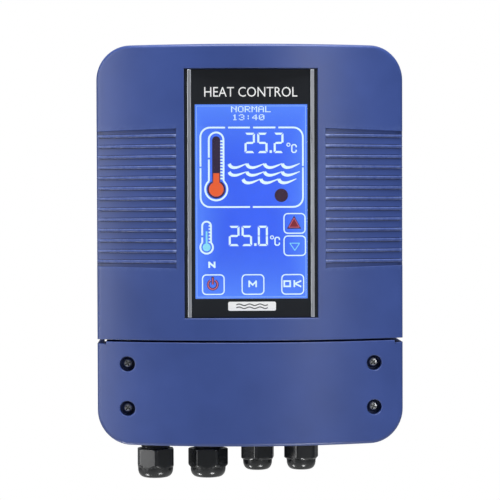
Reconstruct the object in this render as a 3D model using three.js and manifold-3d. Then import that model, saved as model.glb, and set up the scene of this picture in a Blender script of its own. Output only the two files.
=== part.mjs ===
// Wall-mounted control unit for a pool heat pump: a rear tray, a crowned main cover with a touch display,
// a lower terminal cover, the boards inside, and four cable glands in the bottom wall.
// Millimetres, +Z up. The origin is the middle of the flat back that lies against the wall. The wall is the
// plane y = 0 and the front faces -Y, so "depth" below means distance out from the wall, which is -y.

import * as THREE from "three";
import { mergeVertices } from "three/addons/utils/BufferGeometryUtils.js";
import Module from "manifold-3d";

const wasm = await Module();
wasm.setup();

// ---------------------------------------------------------------- driving dimensions

const FIT = 0.3; // clearance kept between neighbouring pieces

const COVER = { width: 227, height: 294, corner: 25, wall: 3, rear: 44, crownDepth: 105, crownRadius: 256 };
const BASE = { inset: 6.5, wall: 3, depth: 50, ledgeInset: 10.5 };
const SPLIT = { z: -70.2, gap: 1.5, wall: 3, bar: 12, barRear: 42, pryLength: 6.5, pryHeight: 1.7 };
const SEAL = { inset: 6.9, width: 2.4, thick: 2 };
const LANDING = BASE.depth + SEAL.thick + 2 * FIT; // depth where a cover lands on its seal
const LEDGE = 3.4; // thickness of the covers' landing ledge

const RIBS = { count: 13, pitch: 7.68, width: 2, centre: 34.3, inner: 54.8, depth: 1, sideDepth: 0.8, rear: 58 };
const RIB_POCKET = { halfInner: 51.15, halfOuter: 49.7 };

const PANEL = { halfWidth: 48.8, bottom: -53.2, top: 129.2, floor: 96.6 };
const SCREEN = { left: -40.9, right: 41.3, bottom: -38.9, top: 103.1 };
const LCD = { halfWidth: 45.7, bottom: -42, top: 106, front: 97.3 };
const FASCIA = { rear: 97.8, front: 99 };
const TRIM = { x: 45, width: 2.7, height: 1.2 };
const DISPLAY_PAD = { halfWidth: 55, bottom: -59.5, top: 135.5, rear: 93.6 };
const DISPLAY_BOARD = { halfWidth: 49, bottom: -57, top: 126, rear: 86.4, thick: 1.6, screwX: 44 };
const DISPLAY_SCREW_Z = [118, -48];

const COVER_SCREW = { x: 91.1, z: [-87.3, -120.1], head: 3.9, headHeight: 3, shank: 2, length: 38, seat: 77.5 };
const REAR_SCREW = { x: 92, z: [120, -50], length: 28, seat: 6.5, bossTop: 14 };
const COUNTERBORE = 5.6;

const POWER_BOARD = { halfWidth: 84, bottom: -106, top: 44, rear: 10.3, thick: 1.6, screwX: 79.5 };
const POWER_SCREW_Z = [38, -78];
const BOARD_TOP = POWER_BOARD.rear + POWER_BOARD.thick + FIT; // depth where the power board's components stand

const WALL_HOLE = { radius: 2.6, x: 62, z: -122 };
const KEYHOLE = { z: 112, head: 4.8, slot: 2.4, rise: 9, depth: 8, wall: 2 };

const GLAND_DEPTH = 27;
const GLAND_SMALL = {
  acrossFlats: 24, entry: 8, collar: 9.3, dome: 11.1, bore: 5.4, sealOuter: 5.1, sealInner: 3.5, mouth: 4.8,
  flangeEnd: 6, nutTop: 9.8, shoulder: 24.8, end: 32.8,
};
const GLAND_LARGE = {
  acrossFlats: 27, entry: 10, collar: 11.1, dome: 13.4, bore: 7.2, sealOuter: 6.9, sealInner: 4.7, mouth: 6.4,
  flangeEnd: 9, nutTop: 16.2, shoulder: 30.3, end: 38.2,
};
// turn: how far the nut's corner is turned from the side, as each nut stands when it is done up
const GLANDS = [
  { x: -71.5, size: GLAND_LARGE, turn: 26 },
  { x: -31.2, size: GLAND_LARGE, turn: 5 },
  { x: 6.8, size: GLAND_SMALL, turn: -22 },
  { x: 40.4, size: GLAND_SMALL, turn: -14 },
];

const COLOURS = {
  case_blue: [0x3a4e87, 0.42, 0],
  black_nylon: [0x17191a, 0.3, 0],
  rubber: [0x1c1c1e, 0.8, 0],
  zinc_steel: [0xb9bcc2, 0.3, 1],
  aluminium: [0xc9ccd2, 0.3, 1],
  gloss_black: [0x0c0e11, 0.12, 0],
  clear_glass: [0xe8f2ff, 0.04, 0],
  screen_blue: [0x2f5cf0, 0.2, 0],
  white_plastic: [0xdedfda, 0.5, 0],
  circuit_board: [0x1d5a38, 0.45, 0],
  component_black: [0x1a1a1c, 0.5, 0],
  relay_plastic: [0x2b4c8f, 0.45, 0],
  terminal_green: [0x2f8a4c, 0.5, 0],
  core_steel: [0x6d6f73, 0.45, 1],
  ribbon_grey: [0x9a9da1, 0.6, 0],
  capacitor_sleeve: [0x1a2338, 0.4, 0],
};

// ---------------------------------------------------------------- shapes and solids

const UP = new THREE.Vector3(0, 0, 1);

// A closed three.js geometry as a solid that can be joined and cut.
function solid(geometry) {
  const bare = geometry.index ? geometry.toNonIndexed() : geometry.clone();
  bare.deleteAttribute("normal");
  bare.deleteAttribute("uv");
  const merged = mergeVertices(bare, 1e-4);
  return new wasm.Manifold(
    new wasm.Mesh({
      numProp: 3,
      vertProperties: merged.attributes.position.array,
      triVerts: new Uint32Array(merged.index.array),
    }),
  );
}

// A solid back as a geometry with flat faces.
function geometryOf(shape) {
  const mesh = shape.getMesh();
  const positions = new Float32Array(mesh.numVert * 3);
  for (let i = 0; i < mesh.numVert; i++) {
    positions.set(mesh.vertProperties.subarray(i * mesh.numProp, i * mesh.numProp + 3), i * 3);
  }
  const geometry = new THREE.BufferGeometry();
  geometry.setAttribute("position", new THREE.BufferAttribute(positions, 3));
  geometry.setIndex(new THREE.BufferAttribute(new Uint32Array(mesh.triVerts), 1));
  const flat = geometry.toNonIndexed();
  flat.computeVertexNormals();
  return flat;
}

const join = (...shapes) => shapes.reduce((whole, next) => whole.add(next));
const cut = (shape, ...tools) => tools.reduce((left, tool) => left.subtract(tool), shape);

// Box between two x, two depths and two z.
function block(x0, x1, depth0, depth1, z0, z1) {
  const box = new THREE.BoxGeometry(x1 - x0, depth1 - depth0, z1 - z0);
  box.translate((x0 + x1) / 2, -(depth0 + depth1) / 2, (z0 + z1) / 2);
  return solid(box);
}

// A front-view outline (x, z) pushed out from depth0 to depth1.
function frontPrism(shape, depth0, depth1, curveSegments = 5) {
  const pushed = new THREE.ExtrudeGeometry(shape, { depth: depth1 - depth0, bevelEnabled: false, curveSegments });
  pushed.rotateX(Math.PI / 2);
  pushed.translate(0, -depth0, 0);
  return solid(pushed);
}

// A plan-view outline (x, y) raised from z0 to z1.
function planPrism(shape, z0, z1) {
  const raised = new THREE.ExtrudeGeometry(shape, { depth: z1 - z0, bevelEnabled: false });
  raised.translate(0, 0, z0);
  return solid(raised);
}

// Cylinder along depth, such as a boss or a screw hole.
function post(radius, x, z, depth0, depth1, segments = 12) {
  const round = new THREE.CylinderGeometry(radius, radius, depth1 - depth0, segments);
  round.translate(x, -(depth0 + depth1) / 2, z);
  return solid(round);
}

// Body of revolution about the z axis, from (radius, z) corners given anticlockwise.
function turned(corners, segments = 20) {
  const lathe = new THREE.LatheGeometry(corners.map(([r, z]) => new THREE.Vector2(r, z)), segments);
  lathe.rotateX(Math.PI / 2);
  return solid(lathe);
}

// Hexagonal prism about the z axis with a corner on the x axis, turned by some degrees.
function hexagon(acrossFlats, z0, z1, turn = 0) {
  const corner = acrossFlats / 2 / Math.cos(Math.PI / 6);
  const prism = new THREE.CylinderGeometry(corner, corner, z1 - z0, 6);
  prism.rotateX(Math.PI / 2);
  prism.rotateZ(Math.PI / 2 + THREE.MathUtils.degToRad(turn));
  prism.translate(0, 0, (z0 + z1) / 2);
  return solid(prism);
}

function roundedRectangle(x0, x1, z0, z1, radius) {
  const shape = new THREE.Shape();
  shape.moveTo(x0 + radius, z0);
  shape.lineTo(x1 - radius, z0);
  shape.absarc(x1 - radius, z0 + radius, radius, -Math.PI / 2, 0);
  shape.lineTo(x1, z1 - radius);
  shape.absarc(x1 - radius, z1 - radius, radius, 0, Math.PI / 2);
  shape.lineTo(x0 + radius, z1);
  shape.absarc(x0 + radius, z1 - radius, radius, Math.PI / 2, Math.PI);
  shape.lineTo(x0, z0 + radius);
  shape.absarc(x0 + radius, z0 + radius, radius, Math.PI, 1.5 * Math.PI);
  return shape;
}

// The case's front-view outline, drawn in by some millimetres all round.
function caseOutline(inset) {
  const x = COVER.width / 2 - inset;
  const z = COVER.height / 2 - inset;
  return roundedRectangle(-x, x, -z, z, COVER.corner - inset);
}

// Depth of the crowned front at x, sunk by some millimetres.
function crownDepth(x, sunk = 0) {
  const radius = COVER.crownRadius - sunk;
  return COVER.crownDepth - COVER.crownRadius + Math.sqrt(radius ** 2 - x ** 2);
}

// Everything behind the crowned front, sunk by some millimetres, out to halfWidth each side.
function behindCrown(sunk, halfWidth, segments = 16) {
  const shape = new THREE.Shape();
  shape.moveTo(-halfWidth, 10);
  for (let i = 0; i <= segments; i++) {
    const x = halfWidth * ((2 * i) / segments - 1);
    shape.lineTo(x, -crownDepth(x, sunk));
  }
  shape.lineTo(halfWidth, 10);
  return planPrism(shape, -COVER.height, COVER.height);
}

const above = (z) => block(-200, 200, -20, 200, z, 300);
const below = (z) => block(-200, 200, -20, 200, -300, z);

const fourCorners = (x, zs) => zs.flatMap((z) => [[-x, z], [x, z]]);
const terminalScrewPlaces = fourCorners(COVER_SCREW.x, COVER_SCREW.z);
const rearScrewPlaces = fourCorners(REAR_SCREW.x, REAR_SCREW.z);
const displayScrewPlaces = fourCorners(DISPLAY_BOARD.screwX, DISPLAY_SCREW_Z);
const powerScrewPlaces = fourCorners(POWER_BOARD.screwX, POWER_SCREW_Z);

// ---------------------------------------------------------------- covers

// A crowned shell with a drip skirt outside the tray's rim and a ledge that lands on the seal. `keep` is the
// half space that the cover fills, `hollow` the half space that its hollow fills, a wall thickness further in.
function coverShell(keep, hollow) {
  const outer = frontPrism(caseOutline(0), COVER.rear, 120).intersect(behindCrown(0, COVER.width / 2));
  const halfInside = COVER.width / 2 - COVER.wall;
  const room = frontPrism(caseOutline(COVER.wall), LANDING + LEDGE, 120).intersect(
    behindCrown(COVER.wall, halfInside),
  );
  const throat = frontPrism(caseOutline(BASE.ledgeInset), LANDING - 1, LANDING + LEDGE + 1);
  const skirt = frontPrism(caseOutline(COVER.wall), 0, LANDING);
  return cut(outer.intersect(keep), room.intersect(hollow), throat.intersect(hollow), skirt);
}

// The flat bands between the grip ribs, on the right side or mirrored on the left.
function ribBands(side) {
  const floor = new THREE.Shape();
  const outside = COVER.width / 2 + 5;
  const wallX = COVER.width / 2 - RIBS.sideDepth;
  const steps = 5;
  floor.moveTo(side * RIBS.inner, -COVER.crownDepth - 5);
  for (let i = 0; i <= steps; i++) {
    const x = RIBS.inner + ((wallX - RIBS.inner) * i) / steps;
    floor.lineTo(side * x, -crownDepth(x, RIBS.depth));
  }
  floor.lineTo(side * wallX, -RIBS.rear);
  floor.lineTo(side * outside, -RIBS.rear);
  floor.lineTo(side * outside, -COVER.crownDepth - 5);
  const zone = planPrism(floor, -COVER.height / 2, COVER.height / 2);

  const pocket = new THREE.Shape();
  pocket.moveTo(side * RIBS.inner, RIBS.centre - RIB_POCKET.halfInner);
  pocket.lineTo(side * outside, RIBS.centre - RIB_POCKET.halfOuter);
  pocket.lineTo(side * outside, RIBS.centre + RIB_POCKET.halfOuter);
  pocket.lineTo(side * RIBS.inner, RIBS.centre + RIB_POCKET.halfInner);
  let bands = frontPrism(pocket, RIBS.rear - 2, 120).intersect(zone);
  for (let i = 0; i < RIBS.count; i++) {
    const z = RIBS.centre + (i - (RIBS.count - 1) / 2) * RIBS.pitch;
    bands = cut(bands, block(-150, 150, 0, 130, z - RIBS.width / 2, z + RIBS.width / 2));
  }
  return bands;
}

function mainCover() {
  const bottom = SPLIT.z + SPLIT.gap / 2;
  const shell = coverShell(above(bottom), above(bottom + SPLIT.wall));
  const crown = behindCrown(1, COVER.width / 2 - 2);
  const pad = block(
    -DISPLAY_PAD.halfWidth, DISPLAY_PAD.halfWidth, DISPLAY_PAD.rear, 120, DISPLAY_PAD.bottom, DISPLAY_PAD.top,
  ).intersect(crown);
  const posts = rearScrewPlaces.map(([x, z]) =>
    post(4.5, x, z, REAR_SCREW.bossTop + 0.4, 120).intersect(crown),
  );
  const boardBosses = displayScrewPlaces.map(([x, z]) =>
    post(3, x, z, DISPLAY_BOARD.rear + DISPLAY_BOARD.thick + FIT, DISPLAY_PAD.rear + 1),
  );
  const recess = frontPrism(
    roundedRectangle(-PANEL.halfWidth, PANEL.halfWidth, PANEL.bottom, PANEL.top, 0.8), PANEL.floor, 120, 2,
  );
  const window = block(
    -LCD.halfWidth - 0.5, LCD.halfWidth + 0.5, 80, 120, LCD.bottom - 0.5, LCD.top + 0.5,
  );
  const pilots = rearScrewPlaces.map(([x, z]) => post(2.2, x, z, 10, REAR_SCREW.seat + REAR_SCREW.length + 2, 8));
  const boardPilots = displayScrewPlaces.map(([x, z]) => post(1.5, x, z, 80, 92.5, 6));
  return cut(
    join(shell, pad, ...posts, ...boardBosses),
    recess, window, ribBands(1), ribBands(-1), ...pilots, ...boardPilots,
  );
}

function terminalCover() {
  const top = SPLIT.z - SPLIT.gap / 2;
  const shell = coverShell(below(top), below(top - SPLIT.wall));
  const crown = behindCrown(1, COVER.width / 2 - 2);
  const columns = terminalScrewPlaces.map(([x, z]) =>
    join(post(5, x, z, LANDING - FIT, 80), post(7.8, x, z, COVER_SCREW.seat - 3, 120, 16)).intersect(crown),
  );
  const counterbores = terminalScrewPlaces.map(([x, z]) => post(COUNTERBORE, x, z, COVER_SCREW.seat, 120, 16));
  const shankHoles = terminalScrewPlaces.map(([x, z]) => post(2.3, x, z, 40, 100, 10));
  const notches = [-1, 1].map((side) => {
    const inner = side * (COVER.width / 2 - SPLIT.pryLength);
    const outer = side * 150;
    return block(Math.min(inner, outer), Math.max(inner, outer), 0, 120, top - SPLIT.pryHeight, top + 5);
  });
  return cut(join(shell, ...columns), ...counterbores, ...shankHoles, ...notches);
}

// Flat gasket on the tray's rim. `keep` trims its outer edge at the split and `hollow` its inner edge.
function coverSeal(keep, hollow) {
  const depth0 = BASE.depth + FIT;
  const outer = frontPrism(caseOutline(SEAL.inset), depth0, depth0 + SEAL.thick).intersect(keep);
  const inner = frontPrism(caseOutline(SEAL.inset + SEAL.width), depth0 - 1, depth0 + SEAL.thick + 1);
  return cut(outer, inner.intersect(hollow));
}

// ---------------------------------------------------------------- rear tray

// Blind pocket behind the back wall for the head of a wall screw.
function keyholeBox() {
  const { z, head, rise, depth, wall } = KEYHOLE;
  return block(-head - wall, head + wall, 1, depth + wall, z - head - wall, z + rise + head + wall);
}

function keyholeCut() {
  const { z, head, slot, rise, depth } = KEYHOLE;
  return join(
    post(head, 0, z, -1, depth),
    block(-slot, slot, -1, depth, z, z + rise),
    block(-head, head, BASE.wall, depth, z, z + rise + head - 0.6),
  );
}

function baseShell() {
  const bottomWall = -COVER.height / 2 + BASE.inset;
  const tray = cut(
    frontPrism(caseOutline(BASE.inset), 0, BASE.depth),
    frontPrism(caseOutline(BASE.inset + BASE.wall), BASE.wall, BASE.depth + 1),
  );
  const inside = COVER.width / 2 - BASE.inset - 1;
  const bar = block(-inside, inside, SPLIT.barRear, BASE.depth, SPLIT.z - SPLIT.bar / 2, SPLIT.z + SPLIT.bar / 2);
  const coverBosses = terminalScrewPlaces.map(([x, z]) => post(5, x, z, 1, LANDING - 2 * FIT));
  const rearBosses = rearScrewPlaces.map(([x, z]) => post(7, x, z, 1, REAR_SCREW.bossTop));
  const standoffs = powerScrewPlaces.map(([x, z]) => post(3.5, x, z, 1, POWER_BOARD.rear - FIT, 8));
  const body = join(tray, bar, ...coverBosses, ...rearBosses, ...standoffs, keyholeBox());

  const coverPilots = terminalScrewPlaces.map(([x, z]) => post(2.2, x, z, 37, 60, 8));
  const rearHoles = rearScrewPlaces.map(([x, z]) =>
    join(post(4.5, x, z, -1, REAR_SCREW.seat), post(2.3, x, z, 5, 20, 8)),
  );
  const boardPilots = powerScrewPlaces.map(([x, z]) => post(1.5, x, z, 3.6, 12, 6));
  const wallHoles = [-1, 1].map((side) => post(WALL_HOLE.radius, side * WALL_HOLE.x, WALL_HOLE.z, -1, 5, 14));
  const glandHoles = GLANDS.map(({ x, size }) => {
    const hole = new THREE.CylinderGeometry(size.entry + 0.4, size.entry + 0.4, 10, 20);
    hole.rotateX(Math.PI / 2);
    hole.translate(x, -GLAND_DEPTH, bottomWall);
    return solid(hole);
  });
  return cut(body, ...coverPilots, ...rearHoles, ...boardPilots, ...wallHoles, ...glandHoles, keyholeCut());
}

// ---------------------------------------------------------------- display

function fasciaPanel() {
  const edge = 0.4;
  const plate = block(
    -PANEL.halfWidth + edge, PANEL.halfWidth - edge, FASCIA.rear, FASCIA.front, PANEL.bottom + edge, PANEL.top - edge,
  );
  return cut(plate, block(SCREEN.left, SCREEN.right, 80, 120, SCREEN.bottom, SCREEN.top));
}

function displaySeal() {
  const edge = 0.5;
  const ring = block(
    -PANEL.halfWidth + edge, PANEL.halfWidth - edge, PANEL.floor + FIT, FASCIA.rear - FIT,
    PANEL.bottom + edge, PANEL.top - edge,
  );
  return cut(ring, block(-LCD.halfWidth - 0.8, LCD.halfWidth + 0.8, 80, 120, LCD.bottom - 0.8, LCD.top + 0.8));
}

// Light, reflector tray and the tail of its connector, behind the liquid-crystal panel.
function backlightUnit() {
  const rear = LCD.front - 7;
  const tray = block(-LCD.halfWidth, LCD.halfWidth, rear, LCD.front - 3, LCD.bottom, LCD.top);
  const dishes = [-24, 0, 24].map((x) => block(x - 9, x + 9, rear - 1, rear + 1, LCD.bottom + 12, LCD.top - 12));
  return cut(tray, ...dishes);
}

function displayBoard() {
  const { halfWidth, bottom, top, rear, thick } = DISPLAY_BOARD;
  const board = block(-halfWidth, halfWidth, rear, rear + thick, bottom, top);
  return cut(board, ...displayScrewPlaces.map(([x, z]) => post(1.7, x, z, 80, 95, 8)));
}

// Flat cable from the display board to the plug on the power board, in one long fold.
function ribbonCable() {
  const route = new THREE.CatmullRomCurve3(
    [[81.6, -47], [74, -46], [66, -38], [58, -27], [49, -26], [42, -33], [36, -39.4], [30.4, -40]].map(
      ([depth, z]) => new THREE.Vector3(0, -depth, z),
    ),
  );
  const half = 0.55;
  const steps = 22;
  const sides = [[], []];
  for (let i = 0; i <= steps; i++) {
    const point = route.getPoint(i / steps);
    const along = route.getTangent(i / steps);
    const across = new THREE.Vector2(-along.z, along.y).multiplyScalar(half);
    sides[0].push(new THREE.Vector2(point.y + across.x, point.z + across.y));
    sides[1].unshift(new THREE.Vector2(point.y - across.x, point.z - across.y));
  }
  const strip = new THREE.ExtrudeGeometry(new THREE.Shape([...sides[0], ...sides[1]]), {
    depth: 25.4, bevelEnabled: false,
  });
  strip.translate(0, 0, -12.7);
  // the outline is drawn in (y, z), so the cyclic swap of axes stands its depth along x
  strip.applyMatrix4(new THREE.Matrix4().makeBasis(new THREE.Vector3(0, 1, 0), UP, new THREE.Vector3(1, 0, 0)));
  const header = block(-17, 17, 80.6, DISPLAY_BOARD.rear - FIT, -50.5, -43.5);
  return join(solid(strip), header);
}

// Coin cell in its holder. The cell shows in the holder's rear face.
function clockBattery() {
  const well = cut(post(10.2, 0, 0, -1, 1.4, 20), post(9.8, 0, 0, 0.2, 2, 20));
  return cut(block(-12, 12, 0, 4.2, -10, 10), well);
}

// ---------------------------------------------------------------- power board and what stands on it

function powerBoard() {
  const { halfWidth, bottom, top, rear, thick } = POWER_BOARD;
  const board = block(-halfWidth, halfWidth, rear, rear + thick, bottom, top);
  return cut(board, ...powerScrewPlaces.map(([x, z]) => post(1.7, x, z, 0, 20, 8)));
}

// Laminated core round a bobbin with two flanges. Stands on depth 0, centred on x and z.
function transformer() {
  return join(
    block(-24, 24, 3, 33, -8, 8),
    block(-15.5, 15.5, 2, 31, -20, 20),
    block(-24, 24, 0, 3.5, -17, 17),
    block(-16.5, 16.5, 4, 31.5, -12, 12),
  );
}

function relay() {
  return cut(
    block(-7.5, 7.5, 0, 25.5, -14.5, 14.5),
    block(-8, 8, 24.5, 27, -15, -13.5),
    block(-8, 8, 24.5, 27, 13.5, 15),
    block(-3, 3, 25, 27, -9, 9),
  );
}

// Screw terminals in a row: clamp screws on top, wire mouths towards the glands.
function terminalBlock(ways, pitch, height, length) {
  const half = (ways * pitch) / 2;
  let body = cut(
    block(-half, half, 0, height, -length / 2, length / 2),
    block(-half - 1, half + 1, height - 4, height + 1, length / 2 - 4, length / 2 + 1),
  );
  for (let i = 0; i < ways; i++) {
    const x = (i - (ways - 1) / 2) * pitch;
    const mouth = Math.min(3.4, pitch * 0.62);
    body = cut(
      body,
      post(pitch * 0.3, x, -1, height - 5, height + 1, 8),
      block(x - mouth / 2, x + mouth / 2, 2.5, 2.5 + mouth, -length / 2 - 1, -length / 2 + 6),
    );
  }
  return body;
}

function fuseHolder() {
  const seat = block(-4.5, 4.5, 0, 3, -13, 13);
  const clips = [-8.5, 8.5].map((z) =>
    cut(block(-4.1, 4.1, 2, 12, z - 2.6, z + 2.6), block(-3, 3, 4.6, 13, z - 3, z + 3)),
  );
  return join(seat, ...clips);
}

// Glass cartridge fuse, lying along z on the origin.
function fuse() {
  return turned([[0, -10], [2.6, -10], [2.6, -5], [2.25, -5], [2.25, 5], [2.6, 5], [2.6, 10], [0, 10]], 12);
}

function capacitor() {
  return join(post(8.8, 0, 0, 0.6, 26, 16), post(8.2, 0, 0, 0, 28, 16));
}

// ---------------------------------------------------------------- screws and glands

// Pan-head screw with a cross recess. The head's seat is at the origin, the shank runs along -Z.
function panScrew(head, headHeight, shank, length) {
  const shape = turned(
    [
      [0, -length], [shank, -length + shank], [shank, 0], [head, 0], [head, headHeight * 0.5],
      [head * 0.6, headHeight], [0, headHeight],
    ],
    10,
  );
  const arm = head * 0.55;
  const slot = head * 0.13;
  const recess = [
    [arm, slot],
    [slot, arm],
  ].map(([x, y]) => {
    const bar = new THREE.BoxGeometry(2 * x, 2 * y, headHeight);
    bar.translate(0, 0, headHeight * 0.85);
    return solid(bar);
  });
  return cut(shape, ...recess);
}

// Gland pieces stand on the case's outer bottom face, z = 0, with the cable running along z.
function glandBody({ acrossFlats, entry, collar, bore, flangeEnd, shoulder }) {
  const threadEnd = shoulder - 7;
  const shape = turned([
    [bore, -threadEnd - 3.4], [bore + 1.4, -threadEnd - 3.4], [bore + 1.4, -threadEnd], [collar, -threadEnd],
    [collar, -flangeEnd], [entry, -flangeEnd + 1], [entry, 9.5], [bore, 9.5], [bore, -threadEnd - 3.4],
  ]);
  const flange = cut(hexagon(acrossFlats, -flangeEnd, -FIT, 12), bored(bore, -20, 5));
  return join(shape, flange);
}

function bored(radius, z0, z1, segments = 20) {
  const hole = new THREE.CylinderGeometry(radius, radius, z1 - z0, segments);
  hole.rotateX(Math.PI / 2);
  hole.translate(0, 0, (z0 + z1) / 2);
  return solid(hole);
}

function glandLocknut({ acrossFlats, entry }) {
  const seat = BASE.wall + FIT;
  return cut(hexagon(acrossFlats, seat, seat + 4.6, 20), bored(entry + FIT, 0, 12));
}

function glandSeal({ sealOuter, sealInner, nutTop, end }) {
  const top = -nutTop - 2.4;
  const foot = -end + 4.5;
  return turned([[sealInner, foot], [sealOuter, foot], [sealOuter, top], [sealInner, top], [sealInner, foot]], 16);
}

// Dome nut: hexagon with chamfered corners, then a round dome with the cable's mouth.
function glandNut({ acrossFlats, collar, dome, mouth, nutTop, shoulder, end, sealOuter }) {
  const corner = acrossFlats / 2 / Math.cos(Math.PI / 6);
  const boreEnd = -shoulder + 3.4;
  const floor = -end + 4.2;
  const round = [];
  for (let i = 0; i <= 4; i++) {
    const angle = (i / 4) * (Math.PI / 2);
    round.push([mouth + 1 + (dome - mouth - 1) * Math.sin(angle), -end + 5.4 - 5.4 * Math.cos(angle)]);
  }
  const outside = [[mouth, -end], ...round, [dome, -shoulder], [corner, -shoulder + 1.6], [corner, -nutTop]];
  const inside = [
    [collar + FIT, -nutTop], [collar + FIT, boreEnd], [sealOuter + 0.3, floor], [mouth, floor], [mouth, -end],
  ];
  const envelope = turned([...outside, ...inside]);
  const bar = join(hexagon(acrossFlats, -shoulder - 0.4, -nutTop + 1), bored(dome, -end - 1, -shoulder));
  return envelope.intersect(bar);
}

// ---------------------------------------------------------------- the assembly

const unit = new THREE.Group();

function material(finish) {
  const [color, roughness, metalness] = COLOURS[finish];
  return new THREE.MeshStandardMaterial({ color, roughness, metalness });
}

// Adds one named piece to a group, standing at (x, depth, z).
function place(group, name, shape, finish, x = 0, depth = 0, z = 0) {
  const mesh = new THREE.Mesh(geometryOf(shape), material(finish));
  mesh.name = name;
  mesh.position.set(x, -depth, z);
  group.add(mesh);
  return mesh;
}

// Adds screws at (x, z) places, heads at `seat`. `facing` is 1 for a head to the front, -1 to the wall.
function placeScrews(group, name, places, seat, facing, size) {
  const shape = panScrew(size.head, size.headHeight, size.shank, size.length);
  places.forEach(([x, z], i) => {
    const screw = place(group, `${name}_${i + 1}`, shape, "zinc_steel", x, seat, z);
    screw.rotation.x = (facing * Math.PI) / 2;
  });
}

function addTray() {
  const tray = new THREE.Group();
  unit.add(tray);
  place(tray, "base_shell", baseShell(), "case_blue");
  placeScrews(tray, "main_cover_screw", rearScrewPlaces, REAR_SCREW.seat - FIT, -1, {
    ...COVER_SCREW, length: REAR_SCREW.length,
  });
  place(tray, "power_board", powerBoard(), "circuit_board");
  placeScrews(tray, "power_board_screw", powerScrewPlaces, BOARD_TOP, 1, {
    head: 2.8, headHeight: 2, shank: 1.25, length: 8,
  });

  const parts = new THREE.Group();
  parts.position.y = -BOARD_TOP;
  tray.add(parts);
  place(parts, "transformer", transformer(), "core_steel", -48, 0, 4);
  place(parts, "relay_1", relay(), "relay_plastic", 6, 0, 6);
  place(parts, "relay_2", relay(), "relay_plastic", 26, 0, 6);
  place(parts, "smoothing_capacitor", capacitor(), "capacitor_sleeve", 54, 0, 10);
  place(parts, "mains_terminals", terminalBlock(5, 10, 19, 17), "component_black", -50, 0, -97);
  place(parts, "signal_terminals", terminalBlock(10, 5.08, 13, 12), "terminal_green", 14, 0, -99.5);
  place(parts, "fuse_holder", fuseHolder(), "component_black", 64, 0, -90);
  place(parts, "fuse", fuse(), "clear_glass", 64, 7.6, -90);
  const header = cut(block(-19, 19, 0, 9, -4.6, 4.6), block(-17.6, 17.6, 1.6, 10, -3.4, 3.4));
  place(parts, "ribbon_header", header, "component_black", 0, 0, -40);
}

function addMainCover() {
  const front = new THREE.Group();
  unit.add(front);
  const edge = SPLIT.z + SPLIT.gap / 2 + 0.6;
  place(front, "main_cover", mainCover(), "case_blue");
  place(front, "main_cover_seal", coverSeal(above(edge), above(edge + SEAL.width)), "rubber");
  place(front, "fascia_panel", fasciaPanel(), "gloss_black");
  place(front, "display_seal", displaySeal(), "rubber");
  for (const [side, name] of [[-1, "fascia_trim_left"], [1, "fascia_trim_right"]]) {
    const half = TRIM.width / 2;
    const bar = block(-half, half, FIT, FIT + TRIM.height, PANEL.bottom + 0.6, PANEL.top - 0.6);
    place(front, name, bar, "aluminium", side * TRIM.x, FASCIA.front);
  }
  const glass = block(
    SCREEN.left + FIT, SCREEN.right - FIT, FASCIA.rear, FASCIA.front, SCREEN.bottom + FIT, SCREEN.top - FIT,
  );
  place(front, "touch_glass", glass, "clear_glass");
  const panel = block(-LCD.halfWidth, LCD.halfWidth, LCD.front - 2.7, LCD.front, LCD.bottom, LCD.top);
  place(front, "lcd_panel", panel, "screen_blue");
  place(front, "backlight_unit", backlightUnit(), "white_plastic");
  place(front, "display_board", displayBoard(), "circuit_board");
  placeScrews(front, "display_board_screw", displayScrewPlaces, DISPLAY_BOARD.rear - FIT, -1, {
    head: 2.6, headHeight: 1.8, shank: 1.2, length: 5,
  });
  place(front, "ribbon_cable", ribbonCable(), "ribbon_grey");
  place(front, "ribbon_plug", block(-17, 17, 14.4, 30, -42.7, -37.3).subtract(
    block(-13, 13, 29, 31, -41.2, -38.8)), "component_black");

  const rearFace = new THREE.Group();
  rearFace.position.y = -(DISPLAY_BOARD.rear - FIT);
  front.add(rearFace);
  place(rearFace, "microcontroller", block(-7, 7, -1.6, 0, -7, 7), "component_black", -16, 0, 34);
  place(rearFace, "clock_battery", clockBattery(), "zinc_steel", 20, -4.2, 78);
  place(rearFace, "buzzer", join(post(6, 0, 0, -7, 0, 14), post(2, 0, 0, -7.6, -6, 8)), "component_black", -26, 0, -16);
}

function addTerminalCover() {
  const lid = new THREE.Group();
  unit.add(lid);
  const edge = SPLIT.z - SPLIT.gap / 2 - 0.6;
  place(lid, "terminal_cover", terminalCover(), "case_blue");
  place(lid, "terminal_cover_seal", coverSeal(below(edge), below(edge - SEAL.width)), "rubber");
  placeScrews(lid, "terminal_cover_screw", terminalScrewPlaces, COVER_SCREW.seat + FIT, 1, COVER_SCREW);
}

function addGlands() {
  GLANDS.forEach(({ x, size, turn }, i) => {
    const gland = new THREE.Group();
    gland.position.set(x, -GLAND_DEPTH, -COVER.height / 2 + BASE.inset);
    unit.add(gland);
    place(gland, `gland_body_${i + 1}`, glandBody(size), "black_nylon");
    place(gland, `gland_locknut_${i + 1}`, glandLocknut(size), "black_nylon");
    place(gland, `gland_seal_${i + 1}`, glandSeal(size), "rubber");
    place(gland, `gland_nut_${i + 1}`, glandNut(size), "black_nylon").rotation.z = THREE.MathUtils.degToRad(turn);
  });
}

addTray();
addMainCover();
addTerminalCover();
addGlands();

export default unit;
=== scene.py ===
# %% [markdown]
# # A pool heater control unit, piece by piece
# The unit hangs on a wall beside a pool heat pump. It has a blue moulded case in two covers, a black panel
# with a lit touch display, and four black cable glands underneath. The CAD model gives the frame: where
# each piece is and how it moves. This script gives each piece its fine surface and its material. Sizes are
# written in millimetres and made metres when a mesh is finished, because a maker reads a drawing in
# millimetres and Blender in metres.

import math

import bmesh
import bpy
import numpy as np
from mathutils import Matrix, Vector


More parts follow.
